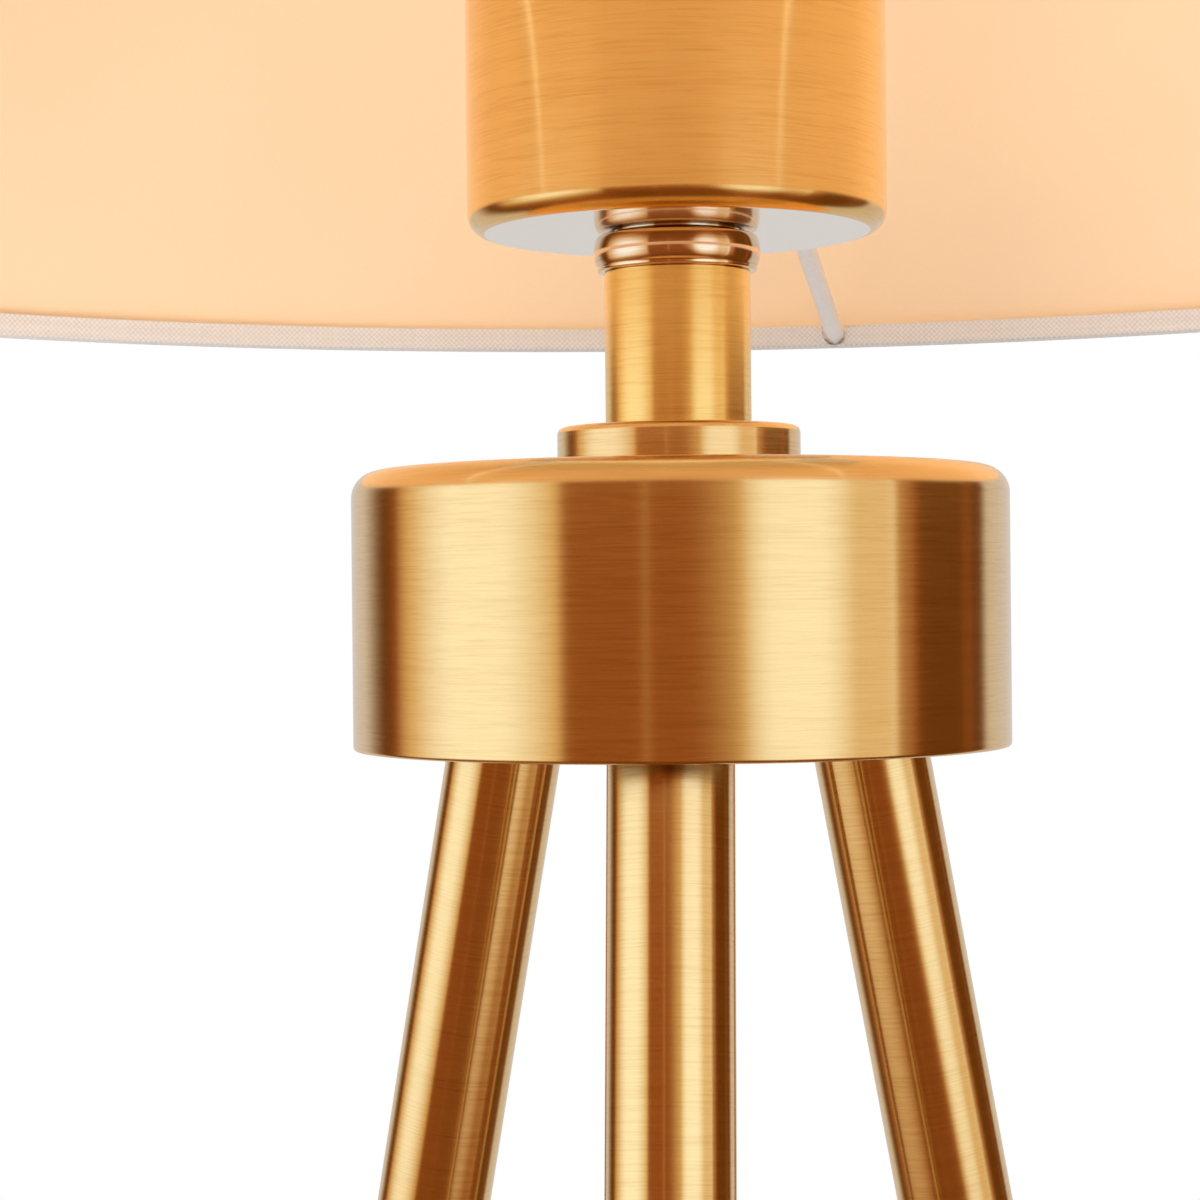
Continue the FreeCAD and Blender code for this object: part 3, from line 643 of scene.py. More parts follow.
class Finishes:
    """Every material of the lamp, made once.

    Attributes:
        brass, turned, plain: Brass of hub and collar, of the socket cup and of the stem's tube.
        polished, base: Brass of bead, thin ring and ring nut; the cup's underside in whitened brass, a
            painted reflection of the pale floor.
        cast, steel: Core of the hub; nuts, washers, studs and the threaded tube.
        rubber, bushing: Feet; cord bushing.
        holder, ceramic, contact: Lampholder's mouldings, its insulator and its live metal.
        opal, cap, insulator: Bulb's lit glass, its cap and the glass at the cap's tip.
        paint: White carrier and hoops, warmed to a beige tint as painted warm light from the lit shade.
        lining, cloth, hem: Shade's lining and cloth, both with a painted glow, and its bound edges.
    """

    def __init__(self) -> None:
        """Builds every material."""
        self.brass = BrushedBrass("brushed_brass").material()
        self.turned = BrushedBrass("turned_brass", lacquer=0.08, tint=(0.885, 0.59, 0.225)).material()
        self.plain = BrushedBrass(
            "plain_brass", roughness=0.25, brushing=0.7, relief=5e-7, tint=(0.97, 0.665, 0.225),
            lacquer=0.05).material()
        self.polished = BrushedBrass(
            "polished_brass", roughness=0.10, brushing=0.3, relief=4e-7, tint=(0.86, 0.62, 0.40),
            lacquer=0.15).material()
        # The cup's underside is brass in a whitened copy: a painted reflection of the pale floor.
        self.base = PlainFinish(
            "underside_painted_floor_reflection", (0.97, 0.93, 0.89), (1.0, 0.98, 0.95), 500.0, (0.12, 0.18),
            grain=Grain.RINGED, relief=2e-6, metallic=1.0, coat=1.0).material()
        self.cast = PlainFinish(
            "cast_zinc", (0.30, 0.29, 0.28), (0.52, 0.51, 0.49), 1400.0, (0.42, 0.6),
            relief=4e-5, metallic=1.0).material()
        self.steel = PlainFinish(
            "zinc_plated_steel", (0.55, 0.55, 0.52), (0.78, 0.77, 0.73), 700.0, (0.24, 0.42),
            grain=Grain.RINGED, metallic=1.0).material()
        self.rubber = PlainFinish(
            "foot_rubber", (0.018, 0.017, 0.016), (0.045, 0.043, 0.041), 2200.0, (0.62, 0.8),
            relief=3e-5).material()
        self.bushing = PlainFinish(
            "bushing_nylon", (0.50, 0.47, 0.40), (0.68, 0.65, 0.58), 800.0, (0.38, 0.5)).material()
        self.holder = PlainFinish(
            "holder_moulding", (0.70, 0.69, 0.66), (0.83, 0.82, 0.79), 500.0, (0.3, 0.44),
            coat=0.1).material()
        self.ceramic = PlainFinish(
            "holder_steatite", (0.72, 0.70, 0.66), (0.86, 0.84, 0.81), 1600.0, (0.5, 0.7)).material()
        self.contact = PlainFinish(
            "contact_brass", (0.62, 0.45, 0.22), (0.84, 0.66, 0.36), 600.0, (0.22, 0.4),
            grain=Grain.UPRIGHT, metallic=1.0).material()
        self.opal = PlainFinish(
            "opal_glass", (0.98, 0.86, 0.68), (1.0, 0.91, 0.76), 40.0, (0.08, 0.14),
            relief=2e-6, coat=0.5, glow=0.75).material()
        self.cap = PlainFinish(
            "cap_aluminium", (0.62, 0.62, 0.62), (0.84, 0.84, 0.84), 800.0, (0.25, 0.42),
            grain=Grain.RINGED, metallic=1.0).material()
        self.insulator = PlainFinish(
            "cap_glass", (0.008, 0.008, 0.012), (0.03, 0.03, 0.045), 400.0, (0.08, 0.2),
            coat=0.4).material()
        # White paint warmed to beige: painted warm light from the lit shade on the wires.
        self.paint = PlainFinish(
            "carrier_paint", (0.82, 0.75, 0.68), (0.92, 0.85, 0.78), 1200.0, (0.28, 0.42),
            relief=2e-5, coat=0.15).material()
        self.lining = ShadeLining("shade_lining_sheet").material()
        self.cloth = WovenCloth(
            "shade_cloth", (0.54, 0.50, 0.44), (0.79, 0.75, 0.68), glow=0.13).material()
        self.hem = WovenCloth(
            "shade_binding", (0.70, 0.63, 0.57), (0.82, 0.75, 0.69), Weave.HEM).material()


def dress(material: Material, *nodes: str) -> None:
    """Puts a material on the slots of CAD nodes.

    Args:
        material: The material.
        nodes: Names of the nodes.
    """
    for node in nodes:
        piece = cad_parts[node]
        if not piece.material_slots:
            piece.data.materials.append(material)
        for place in piece.material_slots:
            place.material = material
        log.info("%s: CAD solid in %s", node, material.name)


def hand_over(piece: Piece, material: Material, body: str, slot: str, *nodes: str) -> Piece:
    """Gives a piece its material and its place in the frame.

    Args:
        piece: The finished mesh.
        material: Its material.
        body: CAD body that it rides on.
        slot: Not used; names the piece's material slot.
        nodes: CAD nodes that it stands for.

    Returns:
        The piece.
    """
    piece.data.materials.clear()
    piece.data.materials.append(material)
    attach(piece, body)
    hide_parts(*nodes)
    log.info("%s: %d faces in %s, for %s", piece.name, len(piece.data.polygons), material.name,
             ", ".join(nodes))
    return piece


# Sub-assemblies

class LegPlace(Enum):
    """Where each leg stands, as its azimuth in degrees."""

    FRONT = 270.0
    LEFT = 150.0
    RIGHT = 30.0


@dataclass
class Leg:
    """One splayed tube leg with its rubber foot.

    Attributes:
        place: Where it stands.
        splay: Lean from plumb in degrees.
        circle: Distance of its axis from the lamp's at the hub's rim.
        rim: Level of the hub's rim.
        inset: Length inside the hub.
        radius: Radius of the tube.
        wall: Wall of the tube.
        foot: Length of rubber below the tube.
        plug: Length of rubber inside the tube.
        plug_fit: Gap between rubber and bore.
        rib: Depth of the grooves between the foot's ribs.
        rib_pitch: Distance from rib to rib.
    """

    place: LegPlace
    splay: float = 11.6
    circle: float = 0.0233
    rim: float = 0.330
    inset: float = 0.008
    radius: float = 0.00635
    wall: float = 0.0012
    foot: float = 0.008
    plug: float = 0.012
    plug_fit: float = 0.00005
    rib: float = 0.00035
    rib_pitch: float = 0.0016
    placing: Matrix = field(init=False)

    def __post_init__(self) -> None:
        """Works out the leg's frame: its origin at the hub's rim, its Z axis up the leg."""
        lean = Matrix.Rotation(math.radians(-self.splay), 4, "Y")
        out = Matrix.Translation((self.circle, 0, self.rim))
        turn = Matrix.Rotation(math.radians(self.place.value), 4, "Z")
        self.placing = turn @ out @ lean

    @property
    def end(self) -> float:
        """Level of the tube's lower end in the leg's frame."""
        return self.foot - self.rim / math.cos(math.radians(self.splay))

    def tube(self, side: str) -> Piece:
        """Models the tube with a broken edge at its lower end."""
        bore = self.radius - self.wall
        piece = Turning(
            f"leg_{side}_tube", wall(self.radius, bore, self.end, self.inset),
            [Round(self.radius, self.end, 0.0003, 3), Round(bore, self.end, 0.0002, 2)],
            sides=SMALL_SIDES).build()
        settle(piece, self.placing)
        return piece

    def rubber(self, side: str) -> Piece:
        """Models the foot: a plug, a ribbed cap and a sole cut level with the floor."""
        below = self.end - self.foot - self.radius * math.tan(math.radians(self.splay))
        bore = self.radius - self.wall - self.plug_fit
        cap = self.radius
        ribs: list[Point] = []
        for step in range(1, 4):
            level = self.end - self.rib_pitch * step
            ribs += [
                (cap, level), (cap - self.rib, level - self.rib_pitch / 4),
                (cap, level - self.rib_pitch / 2)]
        outline = [(bore, self.end + self.plug), (bore, self.end), (cap, self.end), *ribs, (cap, below)]
        piece = Turning(
            f"foot_{side}_rubber", outline,
            [Round(bore, self.end + self.plug, 0.0006, 3), Round(cap, self.end, 0.0004, 3)],
            Ends.CAPPED, SMALL_SIDES, 50.0).build()
        settle(piece, self.placing)
        activate(piece)
        bpy.ops.object.mode_set(mode="EDIT")
        bpy.ops.mesh.select_all(action="SELECT")
        bpy.ops.mesh.bisect(
            plane_co=(0, 0, 0), plane_no=(0, 0, 1), use_fill=True, clear_inner=True, threshold=1e-6)
        bpy.ops.mesh.select_all(action="DESELECT")
        bpy.ops.object.mode_set(mode="OBJECT")
        smooth(piece, 40.0)
        return piece

    def build(self, finishes: Finishes) -> None:
        """Models and dresses the leg and its foot."""
        side = self.place.name.lower()
        brass = BrushedBrass(f"brushed_brass_leg_{side}", placing=self.placing).material()
        hand_over(self.tube(side), brass, "stand", "brushed_brass", f"leg_{side}")
        hand_over(self.rubber(side), finishes.rubber, "stand", "foot_rubber", f"foot_{side}")


@dataclass
class Hub:
    """Spun brass hub over a cast core that holds the legs.

    Attributes:
        wall: Wall of the shell.
        shoulder: Radius of the rounded shoulder.
        rim: Size of the broken edge at the lower rim.
        hole: Radius of the hole in the top.
    """

    wall: float = 0.0015
    shoulder: float = 0.0028
    rim: float = 0.0004
    hole: float = 0.00525

    def shell(self) -> Piece:
        """Models the shell."""
        hub = Reach.of("hub_shell")
        bore = hub.radius - self.wall
        ceiling = hub.high - self.wall
        return Turning(
            "hub_spun_shell",
            [(hub.radius, hub.low), (hub.radius, hub.high), (self.hole, hub.high),
             (self.hole, ceiling), (bore, ceiling), (bore, hub.low)],
            [Round(hub.radius, hub.high, self.shoulder, 10), Round(hub.radius, hub.low, self.rim, 4),
             Round(bore, hub.low, self.rim / 2, 2), Round(bore, ceiling, self.shoulder / 3, 3)]).build()

    def build(self, finishes: Finishes) -> None:
        """Models and dresses the hub."""
        hand_over(self.shell(), finishes.brass, "stand", "brushed_brass", "hub_shell")
        dress(finishes.cast, "hub_core")
        dress(finishes.steel, "leg_inserts", "leg_studs", "nipple", "lower_nut", "lower_washer")
        dress(finishes.bushing, "cord_bushing")


@dataclass
class Stem:
    """Stack between hub and cup: collar, plain tube, polished bead and thin ring.

    Attributes:
        hole: Radius of the hole through the stack.
        edge: Size of a broken edge.
        shoulder: Radius of the collar's upper edge.
        tube_wall: Wall of the plain tube.
        spigot_gap: Gap between the tube's bore and the spigots in its ends.
        bead_skirt: Radius and height of the bead's skirt.
        bead_top: Outer and inner radius of the bead's lip round the thin ring.
        bead_lip: Height of that lip.
        recess: How far the thin ring stands back from its full radius.
    """

    hole: float = 0.00525
    edge: float = 0.00015
    shoulder: float = 0.0007
    tube_wall: float = 0.0015
    spigot_gap: float = 0.0001
    bead_skirt: Point = (0.0085, 0.00045)
    bead_top: Point = (0.0085, 0.0072)
    bead_lip: float = 0.0003
    recess: float = 0.0016

    def collar(self) -> Piece:
        """Models the collar with a softened top edge."""
        disc = Reach.of("collar")
        stem = Reach.of("stem_tube")
        spigot = stem.radius - self.tube_wall - self.spigot_gap
        return Turning(
            "stem_collar",
            [(disc.radius, disc.low), (disc.radius, stem.low), (spigot, stem.low), (spigot, disc.high),
             (self.hole, disc.high), (self.hole, disc.low)],
            [Round(disc.radius, stem.low, self.shoulder, 5), Round(disc.radius, disc.low, 0.0002, 2)],
        ).build()

    def tube(self) -> Piece:
        """Models the plain tube."""
        stem = Reach.of("stem_tube")
        bore = stem.radius - self.tube_wall
        return Turning(
            "stem_plain_tube", wall(stem.radius, bore, stem.low, stem.high),
            [Round(stem.radius, level, self.edge, 2) for level in (stem.low, stem.high)]).build()

    def bead(self) -> Piece:
        """Models the bead with its skirt, full belly and lip."""
        ring = Reach.of("bead_ring")
        seat = Reach.of("stem_tube").high
        spigot = Reach.of("stem_tube").radius - self.tube_wall - self.spigot_gap
        skirt, skirt_height = self.bead_skirt
        top, lip = self.bead_top
        low = seat + skirt_height
        high = ring.high + self.bead_lip
        bulge = ring.radius - (skirt + top) / 2
        outline = [(spigot, ring.low), (spigot, seat), (skirt, seat), (skirt, low)]
        for step in range(1, 12):
            share = step / 12
            swell = math.sin(math.pi * share) ** 0.65
            base = skirt + (top - skirt) * share
            outline.append((base + bulge * swell, low + (high - low) * share))
        outline += [
            (top, high), (lip, high), (lip, ring.high), (self.hole, ring.high), (self.hole, ring.low)]
        return Turning(
            "stem_bead", outline,
            [Round(skirt, seat, 0.0002, 3), Round(skirt, low, 0.00012, 2), Round(top, high, 0.00012, 3)],
            angle=40.0).build()

    def ring(self) -> Piece:
        """Models the thin ring under the cup."""
        ring = Reach.of("neck_ring")
        radius = ring.radius - self.recess
        return Turning(
            "stem_neck_ring", wall(radius, self.hole, ring.low, ring.high),
            [Round(radius, level, self.edge, 3) for level in (ring.low, ring.high)]).build()

    def build(self, finishes: Finishes) -> None:
        """Models and dresses the stack."""
        hand_over(self.collar(), finishes.brass, "stand", "brushed_brass", "collar")
        hand_over(self.tube(), finishes.plain, "stand", "brushed_brass", "stem_tube")
        hand_over(self.bead(), finishes.polished, "stand", "polished_brass", "bead_ring")
        hand_over(self.ring(), finishes.polished, "stand", "polished_brass", "neck_ring")


@dataclass
class SocketCup:
    """Spun brass cup round the lampholder, with the lampholder's own pieces.

    Attributes:
        wall: Wall of the cup.
        corner: Radius of its lower corner.
        hole: Radius of the hole in its floor.
    """

    wall: float = 0.0012
    corner: float = 0.0021
    hole: float = 0.00525

    def cup(self) -> Piece:
        """Models the cup."""
        cup = Reach.of("socket_cup")
        bore = cup.radius - self.wall
        floor = cup.low + self.wall
        return Turning(
            "socket_spun_cup",
            [(cup.radius, cup.low), (cup.radius, cup.high), (bore, cup.high), (bore, floor),
             (self.hole, floor), (self.hole, cup.low)],
            [Round(cup.radius, cup.low, self.corner, 10), Round(cup.radius, cup.high, 0.0003, 3),
             Round(bore, floor, self.corner - self.wall, 4)]).build()

    def build(self, finishes: Finishes) -> None:
        """Models and dresses the cup and what it holds."""
        cup = hand_over(self.cup(), finishes.turned, "stand", "brushed_brass", "socket_cup")
        # The flat underside takes the whitened brass, a painted reflection of the pale floor.
        cup.data.materials.append(finishes.base)
        underside = Reach.of("socket_cup").low + NEAR
        for face in cup.data.polygons:
            if face.center.z < underside:
                face.material_index = 1
        dress(finishes.steel, "upper_washer", "upper_nut")
        dress(finishes.holder, "holder_base", "holder_skirt")
        dress(finishes.ceramic, "ceramic_block")
        dress(finishes.contact, "terminal_screws", "centre_contact", "screw_shell")


@dataclass
class Bulb:
    """Lit globe bulb.

    Attributes:
        globe: Radius of the globe.
        wall: Wall of the glass; not used.
        tangent: Degrees below the globe's widest level where its neck starts.
        neck: Radius of the neck where it meets the cap.
        throat: Radius of the glass inside the cap.
        neck_top: Level of the neck's end above the bulb's tip.
        cap_top: Level of the cap's top above the bulb's tip.
    """

    globe: float = 0.030
    wall: float = 0.0009
    tangent: float = 35.0
    neck: float = 0.0138
    throat: float = 0.0124
    neck_top: float = 0.036
    cap_top: float = 0.027

    def glass(self) -> Piece:
        """Models the glass: a round globe that flows into its neck."""
        body = Reach.of("bulb_globe")
        tip = Reach.of("bulb_contact").low
        centre = body.high - self.globe
        outline = sweep(self.globe, (0.0, centre), 89.9, -self.tangent, 40)
        start_radius, start_level = outline[-1]
        end_level = tip + self.neck_top
        for step in range(1, 11):
            share = step / 10
            narrow = (1 - share) ** 2
            outline.append((self.neck + (start_radius - self.neck) * narrow,
                            start_level + (end_level - start_level) * share))
        outline += [(self.throat, tip + self.cap_top + 0.0004), (self.throat, body.low)]
        return Turning("bulb_glass", outline, ends=Ends.CAPPED, sides=SMALL_SIDES, angle=60.0).build()

    def build(self, finishes: Finishes) -> None:
        """Models and dresses the bulb."""
        hand_over(self.glass(), finishes.opal, "bulb", "opal_glass", "bulb_globe")
        dress(finishes.cap, "bulb_cap")
        dress(finishes.insulator, "bulb_insulator")
        dress(finishes.contact, "bulb_contact")


@dataclass
class Shade:
    """Drum shade: woven cloth on a lining, bound edges, hoops, and a wire carrier.

    Attributes:
        cloth: Thickness of the cloth.
        lining: Thickness of the lining.
        hem: Thickness of the hem's cloth.
        hem_width: Width of the hem's floor, from the cloth to inside the hoop.
        spoke_azimuth: Azimuth of the first spoke in degrees.
        spoke_fall: Slope of a spoke below the level at the hoop, in degrees.
        spoke_hole: Radius of the opening that a spoke has in the hem.
    """

    cloth: float = 0.0005
    lining: float = 0.0005
    hem: float = 0.0005
    hem_width: float = 0.0036
    spoke_azimuth: float = 83.5
    spoke_fall: float = 12.53
    spoke_hole: float = 0.0020

    def drum(self, name: str, node: str, thickness: float) -> Piece:
        """Models the cloth or the lining as a thin tube in the place of its CAD node."""
        size = Reach.of(node)
        return Turning(name, wall(size.radius, size.radius - thickness, size.low, size.high)).build()

    def folded_hem(self, node: str, edge: float, inward: float) -> Piece:
        """Models a hem: cloth folded in over a hoop, soft where it turns.

        Args:
            node: CAD node that it stands for.
            edge: Level of the shade's edge.
            inward: 1 where the hem folds up from the lower edge, -1 at the upper edge.

        Returns:
            The hem.
        """
        size = Reach.of(node)
        bore = size.radius - self.hem_width
        tip = edge + inward * (size.high - size.low)
        floor = edge + inward * self.hem
        inside = bore + self.hem
        return Turning(
            f"shade_{node}",
            [(size.radius, edge), (bore, edge), (bore, tip), (inside, tip), (inside, floor),
             (size.radius, floor)],
            [Round(bore, edge, 0.00045, 5), Round(bore, tip, 0.00018, 3), Round(inside, tip, 0.00018, 3),
             Round(inside, floor, 0.0001, 2)], angle=50.0).build()

    def open_for_spokes(self, piece: Piece) -> None:
        """Cuts the openings through which the spokes reach the lower hoop."""
        size = Reach.of("lower_hoop")
        middle = size.radius - (size.high - size.low) / 2
        level = (size.low + size.high) / 2
        length = 0.016
        for number in range(3):
            turn = Matrix.Rotation(math.radians(self.spoke_azimuth + 120 * number), 4, "Z")
            lean = Matrix.Rotation(math.radians(-(90 - self.spoke_fall)), 4, "Y")
            deselect_all()
            bpy.ops.mesh.primitive_cylinder_add(vertices=32, radius=self.spoke_hole, depth=length)
            cutter = bpy.context.object
            settle(cutter, Matrix.Translation((0, 0, length / 2)))
            settle(cutter, turn @ Matrix.Translation((middle, 0, level)) @ lean)
            activate(piece)
            bpy.ops.object.modifier_add(type="BOOLEAN")
            cut = piece.modifiers[-1]
            cut.operation = "DIFFERENCE"
            cut.object = cutter
            bpy.ops.object.modifier_apply(modifier=cut.name)
            activate(cutter)
            bpy.ops.object.delete()
        smooth(piece, 50.0, even=False)

    def hems(self, finishes: Finishes) -> list[Piece]:
        """Models and dresses both hems.

        Args:
            finishes: The lamp's materials.

        Returns:
            The lower and the upper hem.
        """
        lower = self.folded_hem("lower_hem", Reach.of("lower_hem").low, 1.0)
        self.open_for_spokes(lower)
        upper = self.folded_hem("upper_hem", Reach.of("upper_hem").high, -1.0)
        hand_over(lower, finishes.hem, "shade", "shade_cloth", "lower_hem")
        hand_over(upper, finishes.hem, "shade", "shade_cloth", "upper_hem")
        return [lower, upper]

    def build(self, finishes: Finishes) -> None:
        """Models and dresses the shade and its carrier."""
        cloth = hand_over(
            self.drum("shade_cloth_drum", "shade_fabric", self.cloth), finishes.cloth,
            "shade", "shade_cloth", "shade_fabric")
        size = Reach.of("shade_fabric")
        self.hems(finishes)
        hand_over(
            self.drum("shade_lining_drum", "shade_lining", self.lining), finishes.lining,
            "shade", "shade_sheet", "shade_lining")
        dress(finishes.paint, "lower_hoop", "upper_hoop", "carrier_plate", "carrier_spokes")
        dress(finishes.polished, "ring_nut")


# Studio

@dataclass(frozen=True)
class Softbox:
    """A tall soft panel in the studio, by its azimuth round the lamp as the camera sees it.

    Attributes:
        start: Azimuth of its left edge, in degrees to the right of the camera.
        end: Azimuth of its right edge.
        start_soft: Half width of the left edge.
        end_soft: Half width of the right edge.
        hot: Azimuth of its brightest line.
        falloff: Loss of brightness per squared degree from that line.
        least: Brightness that it doesn't fall below.
        power: Brightness at its brightest line.
        slant: Degrees that its left edge moves to the left for each unit that a direction rises.
    """

    start: float
    end: float
    start_soft: float
    end_soft: float
    hot: float
    falloff: float
    least: float
    power: float = 1.0
    slant: float = 0.0

    def wire(
            self, wiring: Wiring, azimuth: Socket,
            upward: Socket) -> Socket:
        """Joins the panel's nodes.

        Args:
            wiring: The world's wiring.
            azimuth: Azimuth of a direction, in degrees.
            upward: How much the direction rises.

        Returns:
            The panel's brightness in that direction.
        """
        leaning = wiring.maths("ADD", azimuth, wiring.times(upward, self.slant))
        rise = wiring.step_between(leaning, self.start - self.start_soft, self.start + self.start_soft)
        fall = wiring.step_between(azimuth, self.end - self.end_soft, self.end + self.end_soft)
        window = wiring.times(rise, wiring.less(fall))
        away = wiring.maths(
            "POWER", wiring.maths("ABSOLUTE", wiring.maths("SUBTRACT", azimuth, self.hot)), 2.0)
        shape = wiring.maths(
            "MAXIMUM", self.least, wiring.less(wiring.times(away, self.falloff)))
        return wiring.times(wiring.times(window, shape), self.power)


@dataclass
class Studio:
    """Camera, floor and plain soft light.

    Attributes:
        heading: Degrees that the camera's line of sight is turned from +Y towards -X.
        distance: Camera from the lamp's axis, along its line of sight.
        aside: Camera to the left of the axis.
        height: Height of the camera.
        lens: Focal length in millimetres on a 36 mm sensor.
        shift: Upward shift, as a share of the picture's width.
        roll: Turn of the camera about its line of sight, in radians.
        floor_radius: Radius of the floor.
        panels: Soft panels that the brass reflects.
    """

    heading: float = 4.3
    distance: float = 0.2996
    aside: float = 0.0086
    height: float = 0.3453
    lens: float = 84.0
    shift: float = 4 / 1200
    roll: float = 0.0096
    floor_radius: float = 1.2
    panels: tuple[Softbox, ...] = (
        Softbox(-112.0, -42.5, 8.0, 2.5, -75.0, 0.00062, 0.45, 0.86),
        Softbox(14.5, 76.5, 14.0, 1.2, 38.0, 0.0012, 0.44, 0.80, slant=30.0),
        Softbox(20.6, 76.5, 0.8, 1.2, 38.0, 0.0, 1.0, 0.09, slant=8.0),
        Softbox(73.4, 77.0, 0.7, 0.6, 75.0, 0.0, 1.0, 0.12),
        Softbox(77.0, 85.5, 0.6, 2.0, 80.0, 0.0, 1.0, 0.17),
        Softbox(110.0, 117.0, 0.8, 0.8, 113.0, 0.0, 1.0, 0.10),
        Softbox(-14.6, -11.8, 1.0, 1.0, -13.2, 0.0, 1.0, 0.09),
    )

    @property
    def ahead(self) -> Vector:
        """Direction of the camera's line of sight."""
        turn = math.radians(self.heading)
        return Vector((-math.sin(turn), math.cos(turn), 0))

    @property
    def rightward(self) -> Vector:
        """Direction to the camera's right."""
        turn = math.radians(self.heading)
        return Vector((math.cos(turn), math.sin(turn), 0))

    def camera(self) -> None:
        """Places the camera at the photograph's viewing angle."""
        bpy.ops.object.camera_add()
        camera = bpy.context.object
        camera.name = "studio_camera"
        right = self.rightward * math.cos(self.roll) - Vector((0, 0, 1)) * math.sin(self.roll)
        up = self.rightward * math.sin(self.roll) + Vector((0, 0, 1)) * math.cos(self.roll)
        back = -self.ahead
        place = -self.ahead * self.distance - self.rightward * self.aside
        turn = Matrix((right, up, back)).transposed().to_4x4()
        camera.matrix_world = Matrix.Translation((place.x, place.y, self.height)) @ turn
        camera.data.lens = self.lens
        camera.data.sensor_width = 36.0
        camera.data.shift_y = self.shift
        camera.data.clip_start = 0.01
        camera.data.clip_end = 50.0
        bpy.context.scene.camera = camera

    def floor(self) -> None:
        """Lays a plain pale floor that fades into the white backdrop."""
        deselect_all()
        bpy.ops.mesh.primitive_circle_add(vertices=128, radius=self.floor_radius, fill_type="NGON")
        piece = bpy.context.object
        piece.name = "studio_floor"
        made = bpy.data.materials.new("studio_paper")
        made.use_nodes = True
        wiring = Wiring(made.node_tree)
        place = wiring.local()
        out = wiring.add("ShaderNodeVectorMath", {0: place}, operation="LENGTH").outputs["Value"]
        paper = wiring.noise(place, 900.0, 3.0)
        shader = wiring.add("ShaderNodeBsdfPrincipled", {"Roughness": 0.85})
        wiring.give(shader.inputs["Base Color"], wiring.ramp(
            paper, [(0.3, (0.80, 0.80, 0.80)), (0.7, (0.84, 0.84, 0.83))]))
        bright = wiring.add("ShaderNodeEmission", {"Strength": 1.0})
        fade = wiring.step_between(out, 0.35, self.floor_radius * 0.96)
        mixed = wiring.add("ShaderNodeMixShader", {0: fade, 1: shader.outputs[0], 2: bright.outputs[0]})
        wiring.add("ShaderNodeOutputMaterial", {"Surface": mixed.outputs[0]})
        piece.data.materials.append(made)
        piece.visible_glossy = False

    def surround(self) -> None:
        """Wires the world: white behind, soft panels for reflections, even light for the rest."""
        world = bpy.data.worlds.new("studio_surround")
        world.use_nodes = True
        bpy.context.scene.world = world
        wiring = Wiring(world.node_tree)
        way = wiring.add("ShaderNodeTexCoord").outputs["Generated"]
        side, front = (
            wiring.add("ShaderNodeVectorMath", {0: way, 1: axis}, operation="DOT_PRODUCT").outputs["Value"]
            for axis in (self.rightward, -self.ahead))
        azimuth = wiring.times(wiring.maths("ARCTAN2", side, front), 180 / math.pi)
        rise = wiring.split(way)[2]
        # The room's dim light ends at the right and starts again behind the left panel.
        room = wiring.times(0.2, wiring.less(wiring.step_between(azimuth, 72.0, 92.0)))
        gap = wiring.step_between(azimuth, -124.0, -112.0)
        tone = wiring.times(room, gap)
        # Everything fades towards the floor, and the ceiling is even.
        bright = wiring.spread(wiring.step_between(rise, -0.62, -0.08), 0.0, 1.0, (0.2, 1.0))
        for panel in self.panels:
            tone = wiring.maths("ADD", tone, panel.wire(wiring, azimuth, rise))
        tone = wiring.times(tone, bright)
        overhead = wiring.step_between(rise, 0.55, 0.9)
        tone = wiring.blend(tone, wiring.less(overhead), overhead, 0.45)
        studio = wiring.ramp(tone, [
            (0.0, (0.125, 0.044, 0.006)), (0.2, (0.265, 0.084, 0.022)), (0.55, (0.68, 0.52, 0.29)),
            (0.85, (0.87, 0.94, 1.02)), (1.0, (1.0, 1.15, 1.38))])
        # Behind the lamp the backdrop shows at both sides.
        behind = wiring.maths(
            "MAXIMUM", wiring.step_between(azimuth, 122.0, 130.0), wiring.step_between(
                wiring.times(azimuth, -1.0), 124.0, 146.0))
        mixed = wiring.add(
            "ShaderNodeMix", {0: behind, 6: studio, 7: (0.56, 0.53, 0.50, 1.0)}, data_type="RGBA")
        glossy = wiring.add("ShaderNodeBackground", {"Color": mixed.outputs[2], "Strength": 1.2})
        even = wiring.add("ShaderNodeBackground", {"Color": (0.95, 0.96, 1.0, 1.0), "Strength": 0.62})
        white = wiring.add("ShaderNodeBackground", {"Color": (1.0, 1.0, 1.0, 1.0), "Strength": 1.0})
        ray = wiring.add("ShaderNodeLightPath")
        lit = wiring.add("ShaderNodeMixShader", {
            0: ray.outputs["Is Glossy Ray"], 1: even.outputs[0], 2: glossy.outputs[0]})
        seen = wiring.add("ShaderNodeMixShader", {
            0: ray.outputs["Is Camera Ray"], 1: lit.outputs[0], 2: white.outputs[0]})
        wiring.add("ShaderNodeOutputWorld", {"Surface": seen.outputs[0]})

    def lamps(self) -> None:
        """Hangs a high soft light for shape, a low one in front and a small one that fills the shade.

        All stay out of the reflections, where the soft panels show instead.
        """
        lights = (
            ("studio_key", (-0.5, -1.6, 1.6), (0.0, 0.0, 0.4), 1.3, 16.0),
            ("studio_front", (-0.12, -1.3, 0.15), (0.0, 0.0, 0.3), 0.7, 6.0),
            ("studio_fill", (-0.01, -0.115, 0.30), (0.0, 0.165, 0.44), 0.08, 0.25),
        )
        for name, place, aim, size, power in lights:
            bpy.ops.object.light_add(type="AREA", location=place)
            light = bpy.context.object
            light.name = name
            light.data.size = size
            light.data.energy = power
            light.visible_camera = False
            light.visible_glossy = False
            light.rotation_euler = (Vector(place) - Vector(aim)).to_track_quat("Z", "Y").to_euler()

    def build(self) -> None:
        """Sets up the whole studio."""
        self.camera()
        self.floor()
        self.surround()
        self.lamps()
        bpy.context.scene.view_settings.view_transform = "Standard"
        log.info("studio: camera, floor, surround and three lights")


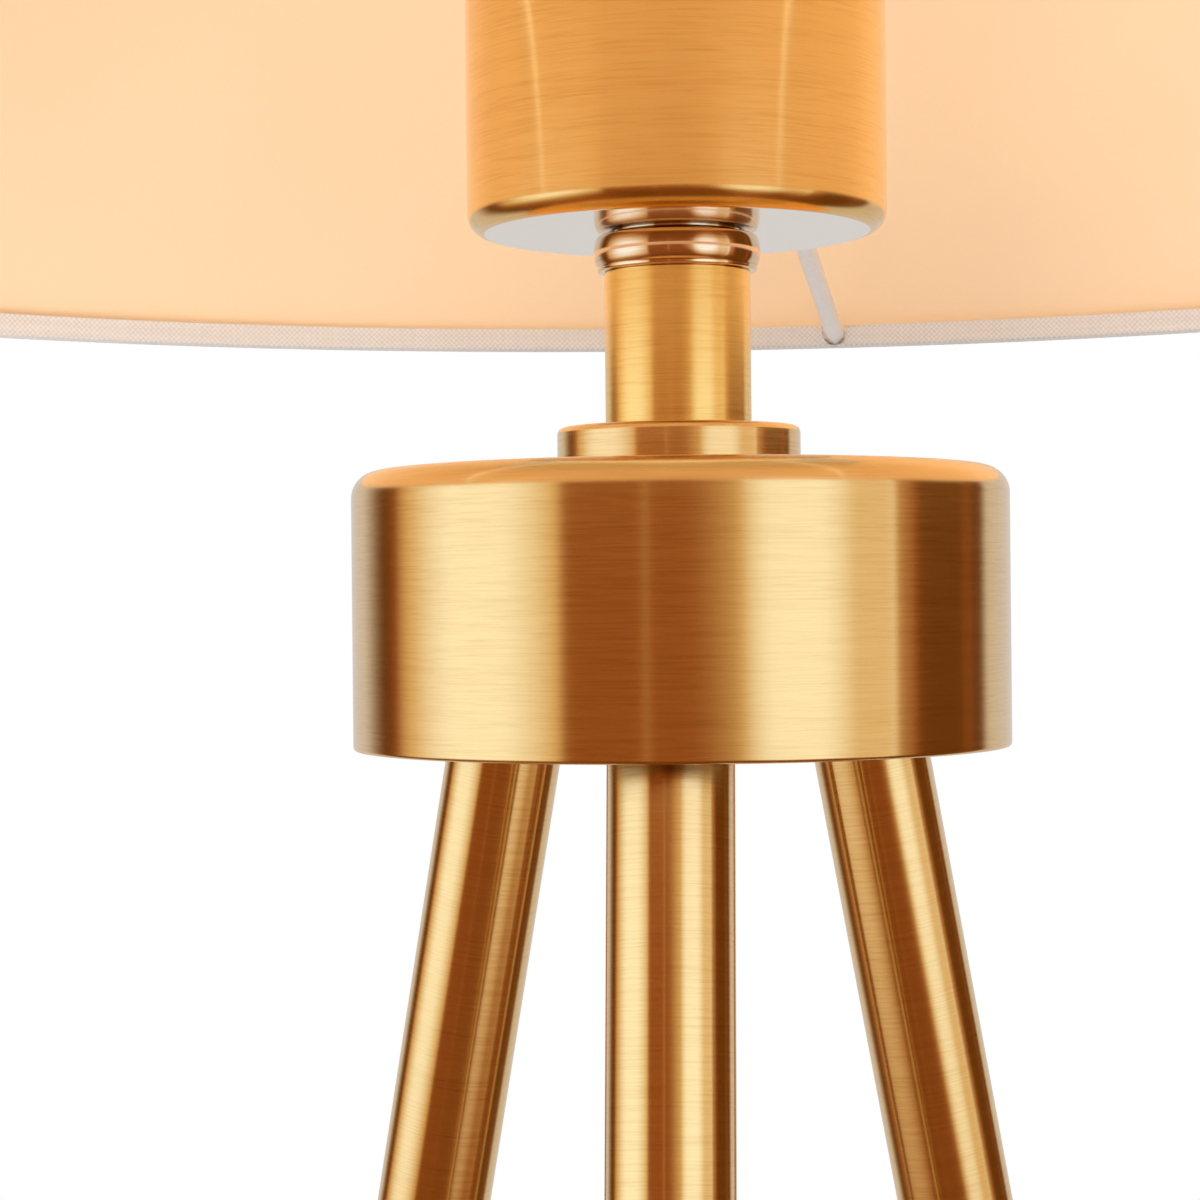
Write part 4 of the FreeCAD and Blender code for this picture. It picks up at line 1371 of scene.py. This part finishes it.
def main() -> None:
    """Builds the lamp's looks piece by piece, then the studio."""
    logging.basicConfig(level=logging.INFO, format="%(name)s: %(message)s")
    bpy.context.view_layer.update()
    finishes = Finishes()
    for place in LegPlace:
        Leg(place).build(finishes)
    Hub().build(finishes)
    Stem().build(finishes)
    SocketCup().build(finishes)
    Bulb().build(finishes)
    Shade().build(finishes)
    Studio().build()


if __name__ == "__main__":
    main()
